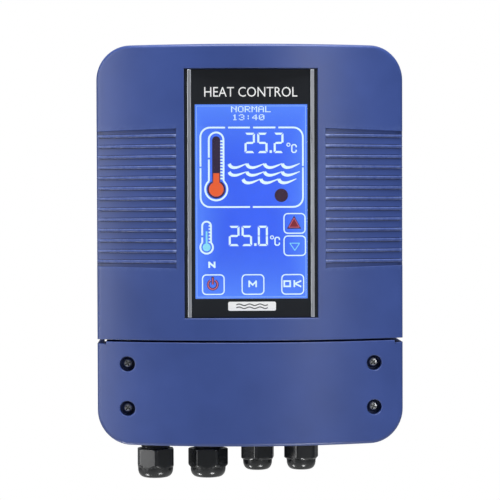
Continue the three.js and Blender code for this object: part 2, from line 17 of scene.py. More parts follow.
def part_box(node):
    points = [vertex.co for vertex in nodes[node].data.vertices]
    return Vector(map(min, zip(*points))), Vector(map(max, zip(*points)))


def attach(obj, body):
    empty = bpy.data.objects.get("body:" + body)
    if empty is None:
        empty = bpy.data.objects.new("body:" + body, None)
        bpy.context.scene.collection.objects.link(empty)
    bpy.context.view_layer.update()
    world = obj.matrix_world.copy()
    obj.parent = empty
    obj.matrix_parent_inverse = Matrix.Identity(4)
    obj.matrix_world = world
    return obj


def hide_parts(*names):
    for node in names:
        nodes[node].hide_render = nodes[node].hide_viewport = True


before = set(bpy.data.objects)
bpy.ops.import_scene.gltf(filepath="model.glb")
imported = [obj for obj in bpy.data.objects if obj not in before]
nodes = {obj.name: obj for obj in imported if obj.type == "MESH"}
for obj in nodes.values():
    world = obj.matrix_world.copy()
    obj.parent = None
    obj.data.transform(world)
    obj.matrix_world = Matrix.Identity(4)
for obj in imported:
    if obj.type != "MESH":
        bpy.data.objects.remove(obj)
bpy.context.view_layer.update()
MM = 0.001

# %% [markdown]
# ## Reading sizes off the frame
# The front faces -Y and the wall is the plane y = 0, so the distance out from the wall is -y. It is called
# depth here, as on the drawing. A few sizes that a box can't give, such as a corner radius, are named once
# and used by every piece that shares them.


# %% Sizes of the case
def box_mm(node):
    """A node's (x0, x1), (depth0, depth1), (z0, z1) in millimetres."""
    low, high = (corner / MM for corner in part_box(node))
    return (low.x, high.x), (-high.y, -low.y), (low.z, high.z)


def middle_mm(node):
    """The middle of a node's box as x, depth, z in millimetres."""
    return [sum(pair) / 2 for pair in box_mm(node)]


(_, HALF_WIDTH), (COVER_REAR, CROWN_DEPTH), (SPLIT_TOP, COVER_TOP) = box_mm("main_cover")
SPLIT_BOTTOM = box_mm("terminal_cover")[2][1]
CORNER = 25
CROWN_RADIUS = 256
WALL = 3
EDGE_ROUND = 2.5
SPLIT_ROUND = 0.6
LANDING = box_mm("main_cover_seal")[1][1] + 0.3
LEDGE_THICK = 3.4
LEDGE_INSET = 10.5
print("covers", round(2 * HALF_WIDTH), "mm wide, crown", round(CROWN_DEPTH), "mm out from the wall")


def crown(x, sunk=0.0):
    """Depth of the crowned front at x, sunk by some millimetres."""
    return CROWN_DEPTH - CROWN_RADIUS + math.sqrt((CROWN_RADIUS - sunk) ** 2 - x**2)


def smooth_step(value, edge, half=0.2):
    """0 below the edge and 1 above it, with a soft change over twice `half`."""
    t = min(1.0, max(0.0, (value - edge + half) / (2 * half)))
    return t * t * (3 - 2 * t)


# %% [markdown]
# ## Camera and light
# The unit is seen from straight ahead at the height of its display, from about a metre and a half. The
# camera's place and its narrow lens give the slight bow in the covers' edges, which comes from the crowned
# front. Light is plain: a tall soft panel each side and a broad one above. Three more only shine back from
# surfaces, a bright wall beside the unit and two small panes below it, near the glands. The camera sees a
# pure white surround, while the surfaces are lit by a much dimmer one, so that they keep their shading. A
# Light Path node makes that difference.

# %% Camera and lights
EYE = Vector((-50, -1565, 28)) * MM
AIM = Vector((0.9, -45, -4.5)) * MM
VIEW_WIDTH = 379.2 * MM
ROLL = math.radians(-0.18)


def look_from(thing, place, target):
    """Puts a camera or a light at a place and turns it to the target."""
    thing.location = place
    thing.rotation_euler = (Vector(target) - Vector(place)).to_track_quat("-Z", "Y").to_euler()


camera = bpy.data.objects.new("camera", bpy.data.cameras.new("camera"))
look_from(camera, EYE, AIM)
camera.rotation_euler.rotate_axis("Z", ROLL)
camera.data.sensor_width = 36
camera.data.lens = camera.data.sensor_width * (AIM - EYE).length / VIEW_WIDTH
camera.data.clip_end = 50
bpy.context.scene.collection.objects.link(camera)
bpy.context.scene.camera = camera
bpy.context.scene.view_settings.view_transform = "Standard"


def soft_panel(name, place, width, height, power, target):
    """A rectangular area light that faces its target."""
    light = bpy.data.lights.new(name, "AREA")
    light.shape = "RECTANGLE"
    light.size, light.size_y = width, height
    light.energy = power
    panel = bpy.data.objects.new(name, light)
    look_from(panel, place, target)
    bpy.context.scene.collection.objects.link(panel)
    return panel


UNIT_MIDDLE, GLANDS = (0, 0, 0), (0, 0, -0.16)
for name, place, width, height, power, target, only_reflected in (
    ("left_panel", (-2.3, -0.1, 0.2), 0.5, 1.6, 15, UNIT_MIDDLE, False),
    ("right_panel", (1.0, -2.2, 0.45), 0.5, 1.4, 12, UNIT_MIDDLE, False),
    ("top_panel", (0.1, -0.62, 1.85), 1.6, 1.0, 58, UNIT_MIDDLE, False),
    ("left_sheen", (-2.1, -1.25, 0.2), 0.5, 1.8, 20, UNIT_MIDDLE, True),
    ("left_pane", (-0.32, -0.08, -0.5), 0.09, 0.12, 0.8, GLANDS, True),
    ("right_pane", (0.16, -0.32, -0.5), 0.14, 0.10, 1.1, GLANDS, True),
):
    panel = soft_panel(name, place, width, height, power, target)
    panel.visible_diffuse = panel.visible_camera = not only_reflected

world = bpy.data.worlds.new("white_surround")
bpy.context.scene.world = world
world.use_nodes = True
sky = world.node_tree
sky.nodes.clear()
choose = sky.nodes.new("ShaderNodeMixShader")
ray = sky.nodes.new("ShaderNodeLightPath")
sky.links.new(ray.outputs["Is Camera Ray"], choose.inputs["Fac"])
# what lights the surfaces, and what the camera sees
for place, colour, strength in ((1, (0.93, 0.96, 1, 1), 0.18), (2, (1, 1, 1, 1), 1.0)):
    background = sky.nodes.new("ShaderNodeBackground")
    background.inputs["Color"].default_value = colour
    background.inputs["Strength"].default_value = strength
    sky.links.new(background.outputs[0], choose.inputs[place])
sky_out = sky.nodes.new("ShaderNodeOutputWorld")
sky.links.new(choose.outputs[0], sky_out.inputs["Surface"])
print("camera", round((AIM - EYE).length, 3), "m from the case, lens", round(camera.data.lens, 1), "mm")

# %% [markdown]
# ## Effects that several finishes share
# Moulded plastic is never one flat colour. Its surface has a fine spark-eroded grain from the mould, it is
# polished where hands and cloths rub it, and it gathers a little dust on whatever faces up. Each effect is
# a shader node group with named inputs, built once and placed in each material with that material's own
# values. A group only puts out masks, colours and heights, and the Principled shader itself stays in the
# material.


# %% Helpers for node trees
def srgb(code):
    """A linear colour from a hex code such as #3a4e87."""
    parts = [int(code[i : i + 2], 16) / 255 for i in (1, 3, 5)]
    linear = [p / 12.92 if p <= 0.04045 else ((p + 0.055) / 1.055) ** 2.4 for p in parts]
    return (*linear, 1.0)


def add_node(tree, kind, **settings):
    """A node with some of its sockets or properties set by name."""
    node = tree.nodes.new(kind)
    for key, value in settings.items():
        if key in node.inputs:
            node.inputs[key].default_value = value
        else:
            setattr(node, key, value)
    return node


def group_tree(name, floats, outputs):
    """An empty shader node group: `floats` are inputs with defaults, `outputs` are names and socket types."""
    tree = bpy.data.node_groups.new(name, "ShaderNodeTree")
    for title, value in floats.items():
        socket = tree.interface.new_socket(title, in_out="INPUT", socket_type="NodeSocketFloat")
        socket.default_value = value
    for title, kind in outputs.items():
        tree.interface.new_socket(title, in_out="OUTPUT", socket_type=kind)
    return tree, tree.nodes.new("NodeGroupInput"), tree.nodes.new("NodeGroupOutput")


def math_node(tree, operation, first, second=None):
    """A Math node fed by sockets or numbers, as its output socket."""
    node = tree.nodes.new("ShaderNodeMath")
    node.operation = operation
    for slot, value in enumerate((first, second)):
        if value is None:
            continue
        if isinstance(value, (int, float)):
            node.inputs[slot].default_value = value
        else:
            tree.links.new(value, node.inputs[slot])
    return node.outputs[0]


def remap(tree, value, low, high, to_low=0.0, to_high=1.0):
    """A Map Range node, as its output socket."""
    limits = {"From Min": low, "From Max": high, "To Min": to_low, "To Max": to_high}
    node = add_node(tree, "ShaderNodeMapRange", **limits)
    tree.links.new(value, node.inputs["Value"])
    return node.outputs["Result"]


# %% [markdown]
# ### Grain
# Two scales of noise on Object coordinates: a fine one for the texture of the mould, and a broad one that
# drifts slowly, as plastic does where it cooled unevenly. Object coordinates stay with the piece when it
# moves.


# %% Grain group
def make_grain():
    tree, given, out = group_tree(
        "moulded_grain",
        {"Fineness": 2600.0, "Drift": 18.0},
        {"Height": "NodeSocketFloat", "Drift": "NodeSocketFloat"},
    )
    where = tree.nodes.new("ShaderNodeTexCoord").outputs["Object"]
    fine = add_node(tree, "ShaderNodeTexNoise", Detail=2.0, Roughness=0.55)
    tree.links.new(where, fine.inputs["Vector"])
    tree.links.new(given.outputs["Fineness"], fine.inputs["Scale"])
    broad = add_node(tree, "ShaderNodeTexNoise", Detail=3.0, Roughness=0.6)
    tree.links.new(where, broad.inputs["Vector"])
    tree.links.new(given.outputs["Drift"], broad.inputs["Scale"])
    tree.links.new(fine.outputs["Fac"], out.inputs["Height"])
    tree.links.new(remap(tree, broad.outputs["Fac"], 0.3, 0.7), out.inputs["Drift"])
    return tree


GRAIN = make_grain()


# %% [markdown]
# ### Rubbed edges and painted sheen
# Corners are rubbed first. When a mesh is finished, each vertex gets an attribute `edge` that says how
# sharply the surface bends outwards there. The group breaks that mask up with noise, because wear is never
# even. On the grip ribs the same mask, with a pale colour, is mostly a painted highlight along their edges.


# %% Rubbed-edge and painted-sheen group
def make_broken_mask(name, amount, breakup, detail, roughness, limits, source):
    """A group whose mask is what `source(tree)` gives, broken up by noise and times its Amount."""
    tree, given, out = group_tree(name, {"Amount": amount, "Breakup": breakup}, {"Mask": "NodeSocketFloat"})
    noise = add_node(tree, "ShaderNodeTexNoise", Detail=detail, Roughness=roughness)
    tree.links.new(tree.nodes.new("ShaderNodeTexCoord").outputs["Object"], noise.inputs["Vector"])
    tree.links.new(given.outputs["Breakup"], noise.inputs["Scale"])
    broken = math_node(tree, "MULTIPLY", source(tree), remap(tree, noise.outputs["Fac"], *limits))
    tree.links.new(math_node(tree, "MULTIPLY", broken, given.outputs["Amount"]), out.inputs["Mask"])
    return tree


def attribute(name):
    """What reads a named attribute of the mesh, for a mask."""
    return lambda tree: add_node(tree, "ShaderNodeAttribute", attribute_name=name).outputs["Fac"]


# wear on convex edges, and on the grip ribs a painted highlight
RUB_AND_SHEEN = make_broken_mask("rubbed_edges", 0.6, 320.0, 4.0, 0.65, (0.35, 0.65), attribute("edge"))


# %% [markdown]
# ### Dust
# Dust settles on what faces up and stays longest in the quiet places. The mask is the upward part of the
# surface's normal, broken up by noise.


# %% Dust group
def upward(tree):
    """How much the surface faces up, from 0 to 1."""
    split = tree.nodes.new("ShaderNodeSeparateXYZ")
    tree.links.new(tree.nodes.new("ShaderNodeNewGeometry").outputs["Normal"], split.inputs[0])
    return remap(tree, split.outputs["Z"], 0.35, 1.0)


DUST = make_broken_mask("settled_dust", 0.2, 90.0, 5.0, 0.7, (0.3, 0.75), upward)


# %% [markdown]
# ### Painted shade and grime in hollows
# Grooves and inside corners are painted darker. This is painted shade, standing for the light that doesn't
# get in, with a little grime that cloths don't reach. A second attribute, `hollow`, says how sharply the
# surface bends inwards.


# %% Painted shade and grime group
# painted shade with a little grime: the hollow mask, broken up by noise
SHADE_AND_GRIME = make_broken_mask(
    "grime_in_hollows", 0.6, 140.0, 3.0, 0.5, (0.2, 0.5, 0.7, 1.0), attribute("hollow")
)


# %% [markdown]
# ### Brushed lines
# Rolled and brushed metal has fine lines along one direction. Noise stretched by a Mapping node gives them.


# %% Brushed-line group
def make_brushed():
    tree, given, out = group_tree("brushed_lines", {"Fineness": 900.0}, {"Lines": "NodeSocketFloat"})
    where = tree.nodes.new("ShaderNodeTexCoord").outputs["Object"]
    stretch = add_node(tree, "ShaderNodeMapping", Scale=(1.0, 1.0, 0.03))
    tree.links.new(where, stretch.inputs["Vector"])
    noise = add_node(tree, "ShaderNodeTexNoise", Detail=3.0, Roughness=0.6)
    tree.links.new(stretch.outputs["Vector"], noise.inputs["Vector"])
    tree.links.new(given.outputs["Fineness"], noise.inputs["Scale"])
    tree.links.new(noise.outputs["Fac"], out.inputs["Lines"])
    return tree


BRUSHED = make_brushed()
print("shared effects:", *[group.name for group in (GRAIN, RUB_AND_SHEEN, DUST, SHADE_AND_GRIME, BRUSHED)])


# %% [markdown]
# ## Finishes
# One function makes every opaque finish from the same recipe: a base colour that drifts a little, a lighter
# colour on convex edges for wear, which on the grip ribs is mostly a painted highlight, dust on top, painted
# shade with a little grime in the hollows, a roughness that follows the same masks, and grain as a bump.
# Values that are the same all over the surface, such as metalness, are set on the shader's own sockets.


# %% Opaque finishes
def mix_colour(tree, mask, first, second):
    """A colour mix of two colours or sockets by a mask."""
    node = tree.nodes.new("ShaderNodeMix")
    node.data_type = "RGBA"
    tree.links.new(mask, node.inputs["Factor"])
    for socket, value in ((node.inputs["A"], first), (node.inputs["B"], second)):
        if isinstance(value, tuple):
            socket.default_value = value
        else:
            tree.links.new(value, socket)
    return node.outputs["Result"]


def place_group(tree, group, **values):
    """One of the shared groups in a material, with its own values."""
    node = tree.nodes.new("ShaderNodeGroup")
    node.node_tree = group
    for key, value in values.items():
        node.inputs[key].default_value = value
    return node


def shade(colour, factor):
    """A colour made darker or lighter."""
    return (*[min(1.0, part * factor) for part in colour[:3]], 1.0)


def finish(
    name, colour, rough, metal=0.0, drift=0.10, rub_and_sheen=0.5, rubbed_and_sheen_colour=None, dust=0.12, fineness=2600.0, bump=0.012,
    lines=False, specular=0.5, rough_spread=0.10, shade_and_grime=0.6,
):
    """An opaque material. `rough` is its roughness, and `bump` the height of its grain in millimetres."""
    material = bpy.data.materials.new(name)
    material.use_nodes = True
    tree = material.node_tree
    shader = tree.nodes["Principled BSDF"]
    shader.inputs["Metallic"].default_value = metal
    shader.inputs["Specular IOR Level"].default_value = specular
    base = srgb(colour)
    grain = place_group(tree, GRAIN, Fineness=fineness)
    worn_and_sheen = place_group(tree, RUB_AND_SHEEN, Amount=rub_and_sheen)
    dusty = place_group(tree, DUST, Amount=dust)
    body = mix_colour(tree, grain.outputs["Drift"], shade(base, 1 - drift), shade(base, 1 + drift))
    # convex edges take a lighter colour: wear, and on the grip ribs a painted highlight
    body = mix_colour(tree, worn_and_sheen.outputs["Mask"], body, srgb(rubbed_and_sheen_colour) if rubbed_and_sheen_colour else shade(base, 1.5))
    body = mix_colour(tree, dusty.outputs["Mask"], body, srgb("#b4b2aa"))
    # painted shade with a little grime: hollows are mixed towards 30% of the base colour
    dark = place_group(tree, SHADE_AND_GRIME, Amount=shade_and_grime)
    body = mix_colour(tree, dark.outputs["Mask"], body, shade(base, 0.3))
    tree.links.new(body, shader.inputs["Base Color"])
    height = grain.outputs["Height"]
    if lines:
        height = place_group(tree, BRUSHED).outputs["Lines"]
    soft = remap(tree, height, 0.3, 0.7, rough - rough_spread / 2, rough + rough_spread / 2)
    soft = math_node(tree, "ADD", soft, math_node(tree, "MULTIPLY", grain.outputs["Drift"], rough_spread / 2))
    soft = math_node(tree, "SUBTRACT", soft, math_node(tree, "MULTIPLY", worn_and_sheen.outputs["Mask"], rough * 0.3))
    tree.links.new(math_node(tree, "ADD", soft, dusty.outputs["Mask"]), shader.inputs["Roughness"])
    relief = add_node(tree, "ShaderNodeBump", Strength=1.0, Distance=bump * MM)
    tree.links.new(height, relief.inputs["Height"])
    tree.links.new(relief.outputs["Normal"], shader.inputs["Normal"])
    return material


# the case takes strong painted shade in its hollows
case_blue = finish(
    "case_blue", "#384e91", 0.34, rub_and_sheen=0.35, rubbed_and_sheen_colour="#6d84bd", dust=0.08, fineness=2200, shade_and_grime=0.95,
    specular=0.45,
)
# the ribs' pale edge colour is mostly a painted highlight with a little wear, and their hollows take strong
# painted shade
rib_blue = finish("rib_blue", "#384e91", 0.30, rub_and_sheen=0.85, rubbed_and_sheen_colour="#93a4d8", dust=0.08, bump=0.008, shade_and_grime=0.95)
gland_nylon = finish("gland_nylon", "#202224", 0.18, rub_and_sheen=0.4, rubbed_and_sheen_colour="#3a3d40", dust=0.16, bump=0.006)
seal_rubber = finish("seal_rubber", "#1b1b1c", 0.72, rub_and_sheen=0.2, dust=0.15, fineness=1500, bump=0.02)
fascia_black = finish("fascia_black", "#1f2227", 0.16, rub_and_sheen=0.25, dust=0.05, bump=0.002, rough_spread=0.05)
satin_aluminium = finish(
    "satin_aluminium", "#c9ccd3", 0.30, metal=1.0, drift=0.04, rub_and_sheen=0.3, rubbed_and_sheen_colour="#eceef2", dust=0.0,
    lines=True, bump=0.004,
)
zinc_steel = finish(
    "zinc_steel", "#b4b6b8", 0.30, metal=1.0, drift=0.12, rub_and_sheen=0.6, rubbed_and_sheen_colour="#dcdcd8", dust=0.05, bump=0.004
)
tinned_metal = finish("tinned_metal", "#c4c6c8", 0.26, metal=1.0, rub_and_sheen=0.3, dust=0.0, bump=0.003)
brass_metal = finish(
    "brass_metal", "#b08d45", 0.30, metal=1.0, rub_and_sheen=0.4, rubbed_and_sheen_colour="#dcc180", dust=0.0, bump=0.003
)
copper_wire = finish("copper_wire", "#8f4a24", 0.32, metal=1.0, rub_and_sheen=0.3, dust=0.0, lines=True, bump=0.03)
core_steel = finish("core_steel", "#54575b", 0.42, metal=0.8, rub_and_sheen=0.5, lines=True, bump=0.03)
black_plastic = finish("black_plastic", "#1c1c1e", 0.42, rub_and_sheen=0.4, rubbed_and_sheen_colour="#4a4a4d")
grey_plastic = finish("grey_plastic", "#8d9094", 0.48, rub_and_sheen=0.3)
white_plastic = finish("white_plastic", "#dcdcd6", 0.46, rub_and_sheen=0.2, drift=0.04)
green_plastic = finish("green_plastic", "#2c8a4b", 0.42, rub_and_sheen=0.4, rubbed_and_sheen_colour="#63b57d")
relay_plastic = finish("relay_plastic", "#2a4f95", 0.36, rub_and_sheen=0.4, rubbed_and_sheen_colour="#6c8fca")
sleeve_plastic = finish("sleeve_plastic", "#1c2740", 0.30, rub_and_sheen=0.3, bump=0.004)
print("opaque finishes:", len(bpy.data.materials))

# %% [markdown]
# ### Circuit board
# A board is woven glass under a green lacquer, and copper tracks show through it as slightly raised,
# lighter lines. A Brick texture turned on its side gives a plausible maze of straight tracks.


# %% Circuit-board finish
def make_board_lacquer():
    material = finish("board_lacquer", "#14502f", 0.34, rub_and_sheen=0.3, rubbed_and_sheen_colour="#9aa060", drift=0.08, bump=0.004)
    tree = material.node_tree
    shader = tree.nodes["Principled BSDF"]
    turned = add_node(tree, "ShaderNodeMapping", Rotation=(math.pi / 2, 0, 0))
    tree.links.new(tree.nodes.new("ShaderNodeTexCoord").outputs["Object"], turned.inputs["Vector"])
    spacing = {"Brick Width": 21 * MM, "Row Height": 3.2 * MM, "Mortar Size": 0.45 * MM, "Mortar Smooth": 0.1}
    tracks = add_node(tree, "ShaderNodeTexBrick", Scale=1.0, **spacing)
    tree.links.new(turned.outputs["Vector"], tracks.inputs["Vector"])
    plain = shader.inputs["Base Color"].links[0].from_socket
    tracked = mix_colour(tree, tracks.outputs["Fac"], plain, srgb("#2f7a45"))
    tree.links.new(tracked, shader.inputs["Base Color"])
    return material


board_lacquer = make_board_lacquer()

# %% [markdown]
# ### Glass
# Glass keeps a plain Transmission Weight and IOR. Only its roughness varies, by the faint smears that
# fingers leave on a touch display.


# %% Glass finish
def make_glass(name, tint, smear):
    material = bpy.data.materials.new(name)
    material.use_nodes = True
    tree = material.node_tree
    shader = tree.nodes["Principled BSDF"]
    shader.inputs["Base Color"].default_value = srgb(tint)
    shader.inputs["Transmission Weight"].default_value = 1.0
    shader.inputs["IOR"].default_value = 1.45
    grain = place_group(tree, GRAIN, Drift=45.0)
    tree.links.new(remap(tree, grain.outputs["Drift"], 0.5, 1.0, 0.01, smear), shader.inputs["Roughness"])
    return material


touch_glass = make_glass("touch_glass", "#f4f8ff", 0.035)
fuse_glass = make_glass("fuse_glass", "#f2f6f4", 0.02)

# %% [markdown]
# ### Lit display
# The screen is an even blue light that brightens towards its edges, where the backlight sits. White
# segments let the backlight through, and a few are coloured. Light is set as Emission Color over a dark
# base.


# %% Lit finishes
def lit(name, colour, strength=1.0, rim=None, size=None, centre=None):
    """A glowing material. `rim` is the colour that it takes towards the edges of a screen of that size."""
    material = bpy.data.materials.new(name)
    material.use_nodes = True
    tree = material.node_tree
    shader = tree.nodes["Principled BSDF"]
    shader.inputs["Base Color"].default_value = shade(srgb(colour), 0.12)
    shader.inputs["Roughness"].default_value = 0.5
    shader.inputs["Emission Strength"].default_value = strength
    grain = place_group(tree, GRAIN, Drift=24.0)
    base = srgb(colour)
    glow = mix_colour(tree, grain.outputs["Drift"], shade(base, 0.95), shade(base, 1.05))
    if rim:
        where = tree.nodes.new("ShaderNodeSeparateXYZ")
        tree.links.new(tree.nodes.new("ShaderNodeTexCoord").outputs["Object"], where.inputs[0])
        reach = []
        for axis, middle, half in (("X", centre[0], size[0] / 2), ("Z", centre[1], size[1] / 2)):
            away = math_node(tree, "ABSOLUTE", math_node(tree, "SUBTRACT", where.outputs[axis], middle * MM))
            reach.append(remap(tree, math_node(tree, "DIVIDE", away, half * MM), 0.35, 1.0))
        edge = math_node(tree, "MAXIMUM", reach[0], reach[1])
        glow = mix_colour(tree, math_node(tree, "POWER", edge, 1.6), glow, srgb(rim))
    tree.links.new(glow, shader.inputs["Emission Color"])
    return material


symbol_white = lit("symbol_white", "#e6fbff")
symbol_cyan = lit("symbol_cyan", "#8fe2f4")
symbol_orange = lit("symbol_orange", "#ee5d22")
symbol_red = lit("symbol_red", "#86131d", 0.9)
symbol_rose = lit("symbol_rose", "#dd6d86", 0.9)
symbol_plum = lit("symbol_plum", "#2c1536", 0.9)
symbol_maroon = lit("symbol_maroon", "#360f2c", 0.9)
print("finishes:", len(bpy.data.materials))

# %% [markdown]
# ## From a mesh in millimetres to a finished piece
# Every piece is first built in millimetres as (x, depth, z). Finishing it does the same things each time:
# turn depth into -y, make metres, merge doubles, point the faces outwards, mark sharp edges, and store how
# far the surface bends outwards or inwards at each vertex, for rubbed edges with the painted highlight on the
# ribs, and for painted shade with a little grime in hollows. Then the piece rides on its CAD body and stands
# for its CAD node.


# %% Finishing a piece
LEAST_BEND, FULL_BEND = 0.12, 0.8
FINE_EDGE = 1.2 * MM


def store_number(mesh, name, values):
    """Writes one number for each vertex as a named attribute."""
    attribute = mesh.attributes.get(name) or mesh.attributes.new(name, "FLOAT", "POINT")
    attribute.data.foreach_set("value", np.asarray(values, np.float32))


def store_bends(mesh, bm):
    """Writes `edge` and `hollow`, up to 1 where the surface bends outwards and where it bends inwards."""
    edge, hollow = np.zeros(len(bm.verts)), np.zeros(len(bm.verts))
    for vert in bm.verts:
        bends = [e.calc_face_angle_signed(0.0) for e in vert.link_edges if len(e.link_faces) == 2]
        lengths = [e.calc_length() for e in vert.link_edges]
        if bends and max(map(abs, bends)) > LEAST_BEND:
            reach = FINE_EDGE / max(FINE_EDGE, sum(lengths) / len(lengths))
            edge[vert.index] = min(1.0, max(0.0, max(bends)) / FULL_BEND) * reach
            hollow[vert.index] = min(1.0, max(0.0, -min(bends)) / FULL_BEND) * reach
    store_number(mesh, "edge", edge)
    store_number(mesh, "hollow", hollow)


def to_mesh(name, bm, sharp_degrees=38, tidy=True):
    """Turns a bmesh in millimetres, with y as depth, into a smooth-shaded mesh in metres."""
    bm.transform(Matrix.Diagonal((MM, -MM, MM, 1)))
    if tidy:
        bmesh.ops.remove_doubles(bm, verts=bm.verts, dist=0.004 * MM)
        bmesh.ops.dissolve_degenerate(bm, edges=bm.edges, dist=0.002 * MM)
    bmesh.ops.recalc_face_normals(bm, faces=bm.faces)
    bm.verts.index_update()
    limit = math.radians(sharp_degrees)
    for face in bm.faces:
        face.smooth = True
    for edge in bm.edges:
        edge.smooth = len(edge.link_faces) == 2 and edge.calc_face_angle(math.pi) < limit
    mesh = bpy.data.meshes.new(name)
    bm.to_mesh(mesh)
    store_bends(mesh, bm)
    bm.free()
    return mesh


def settle_normals(mesh):
    """Lets large faces decide the shading, so that a flat face stays flat beside its rounded edges."""
    holder = bpy.data.objects.new("settling", mesh)
    bpy.context.scene.collection.objects.link(holder)
    holder.modifiers.new("weighted", "WEIGHTED_NORMAL").keep_sharp = True
    graph = bpy.context.evaluated_depsgraph_get()
    settled = bpy.data.meshes.new_from_object(holder.evaluated_get(graph))
    settled.name = mesh.name
    bpy.data.objects.remove(holder)
    bpy.data.meshes.remove(mesh)
    return settled


def add_piece(name, mesh, material, body, slot, *replaced):
    """Puts a finished mesh in the scene, riding on a CAD body and standing for CAD nodes."""
    mesh = settle_normals(mesh)
    piece = bpy.data.objects.new(name, mesh)
    bpy.context.scene.collection.objects.link(piece)
    if material.name not in mesh.materials:
        mesh.materials.append(material)
    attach(piece, body)
    if replaced:
        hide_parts(*replaced)
    return piece


def bridge(bm, first, second):
    """Quads between two closed rings of vertices."""
    for a in range(len(first)):
        b = (a + 1) % len(first)
        bm.faces.new((first[a], first[b], second[b], second[a]))


def loft(bm, loops):
    """A closed solid through loops of points (x, depth, z) that have the same number of points."""
    rings = [[bm.verts.new(point) for point in loop] for loop in loops]
    for a, b in zip(rings, rings[1:]):
        bridge(bm, a, b)
    bm.faces.new(rings[0])
    bm.faces.new(rings[-1])


def full_turn(segments):
    """Evenly spaced angles round a circle."""
    return [2 * math.pi * i / segments for i in range(segments)]


def front_lathe(bm, x, z, profile, segments=32):
    """A body of revolution about a depth axis, from (radius, depth) pairs."""
    turns = full_turn(segments)
    loft(bm, [[(x + r * math.cos(t), depth, z + r * math.sin(t)) for t in turns] for r, depth in profile])


def drawn(name, draw, sharp_degrees=38):
    """The finished mesh of what `draw` puts into an empty bmesh."""
    bm = bmesh.new()
    draw(bm)
    return to_mesh(name, bm, sharp_degrees)


def round_steps(radius, count=5):
    """How far in from an edge, and how much lower, each point of a rounded edge is."""
    angles = [math.pi / 2 * i / count for i in range(count + 1)]
    return [(radius * (1 - math.cos(a)), radius * (1 - math.sin(a))) for a in angles]


def round_drop(inside, radius):
    """How much a rounded edge has dropped at a distance inside it."""
    if inside >= radius:
        return 0.0
    return radius - math.sqrt(max(0.0, radius**2 - (radius - max(0.0, inside)) ** 2))


# %% [markdown]
# ## The two covers
# The covers are thin moulded shells. One way to make them would be to extrude the outline and cut it, but
# cut edges are hard to round evenly on a crowned front. Here each cover is woven from a net of columns and
# rows instead. Every crossing of the net gives a point on the outside and one on the inside, and a formula
# says how deep each one is. Lines of the net lie close together where the surface bends and far apart where
# it is plain, and at the rim the two skins are joined by a chain of rings that form the skirt and the
# landing ledge.


# %% The net of a cover
def outline_half_width(z):
    """Half the width of the rounded outline at height z."""
    into_corner = abs(z) - (COVER_TOP - CORNER)
    if into_corner <= 0:
        return HALF_WIDTH
    return HALF_WIDTH - CORNER + math.sqrt(max(0.0, CORNER**2 - into_corner**2))


def inside_outline(x, z):
    """How far a point is inside the rounded outline."""
    qx, qz = abs(x) - (HALF_WIDTH - CORNER), abs(z) - (COVER_TOP - CORNER)
    outside = math.hypot(max(qx, 0), max(qz, 0)) + min(max(qx, qz), 0) - CORNER
    return -outside


def inset_point(x, z, amount):
    """An outline point moved straight in from the outline."""
    qx, qz = abs(x) - (HALF_WIDTH - CORNER), abs(z) - (COVER_TOP - CORNER)
    if qx > 0 and qz > 0:
        length = math.hypot(qx, qz)
        nx, nz = qx / length, qz / length
    else:
        nx, nz = (1, 0) if qx > qz else (0, 1)
    return x - math.copysign(nx * amount, x), z - math.copysign(nz * amount, z)


def lines(*runs):
    """Net lines from (start, stop, step) runs and single values, sorted, with near-doubles dropped."""
    found = []
    for run in runs:
        if isinstance(run, tuple):
            start, stop, step = run
            count = max(1, round((stop - start) / step))
            found += [start + (stop - start) * i / count for i in range(count + 1)]
        else:
            found.append(run)
    kept = []
    for value in sorted(found):
        if not kept or value - kept[-1] > 0.012:
            kept.append(value)
    return kept


def edge_lines(at, radius, direction):
    """Net lines that sample a rounded edge."""
    return [at + direction * inward for inward, _ in round_steps(radius)]


def mirrored(half):
    """Net columns on both sides of the middle."""
    return [-x for x in reversed(half) if x > 0] + list(half)


def corner_rows():
    """Rows that follow the corner arc up to the rounded edge at the far end."""
    start = COVER_TOP - CORNER
    arc = [start + CORNER * math.sin(math.radians(a)) for a in range(0, 68, 6)]
    return arc + edge_lines(COVER_TOP, EDGE_ROUND, -1) + [COVER_TOP - 2.6, COVER_TOP - 4]


RIM_COLUMNS = edge_lines(HALF_WIDTH, EDGE_ROUND, -1) + [HALF_WIDTH - d for d in (2.98, 3.02, 4.2)]
STRAIGHT_HALF = 56.0
DENT_END = 58.0
# a cell's neighbours: the step to it, and the two ends of the side that they share
NEIGHBOURS = (
    (0, -1, (0, 0), (1, 0)), (1, 0, (1, 0), (1, 1)), (0, 1, (1, 1), (0, 1)), (-1, 0, (0, 1), (0, 0)),
)


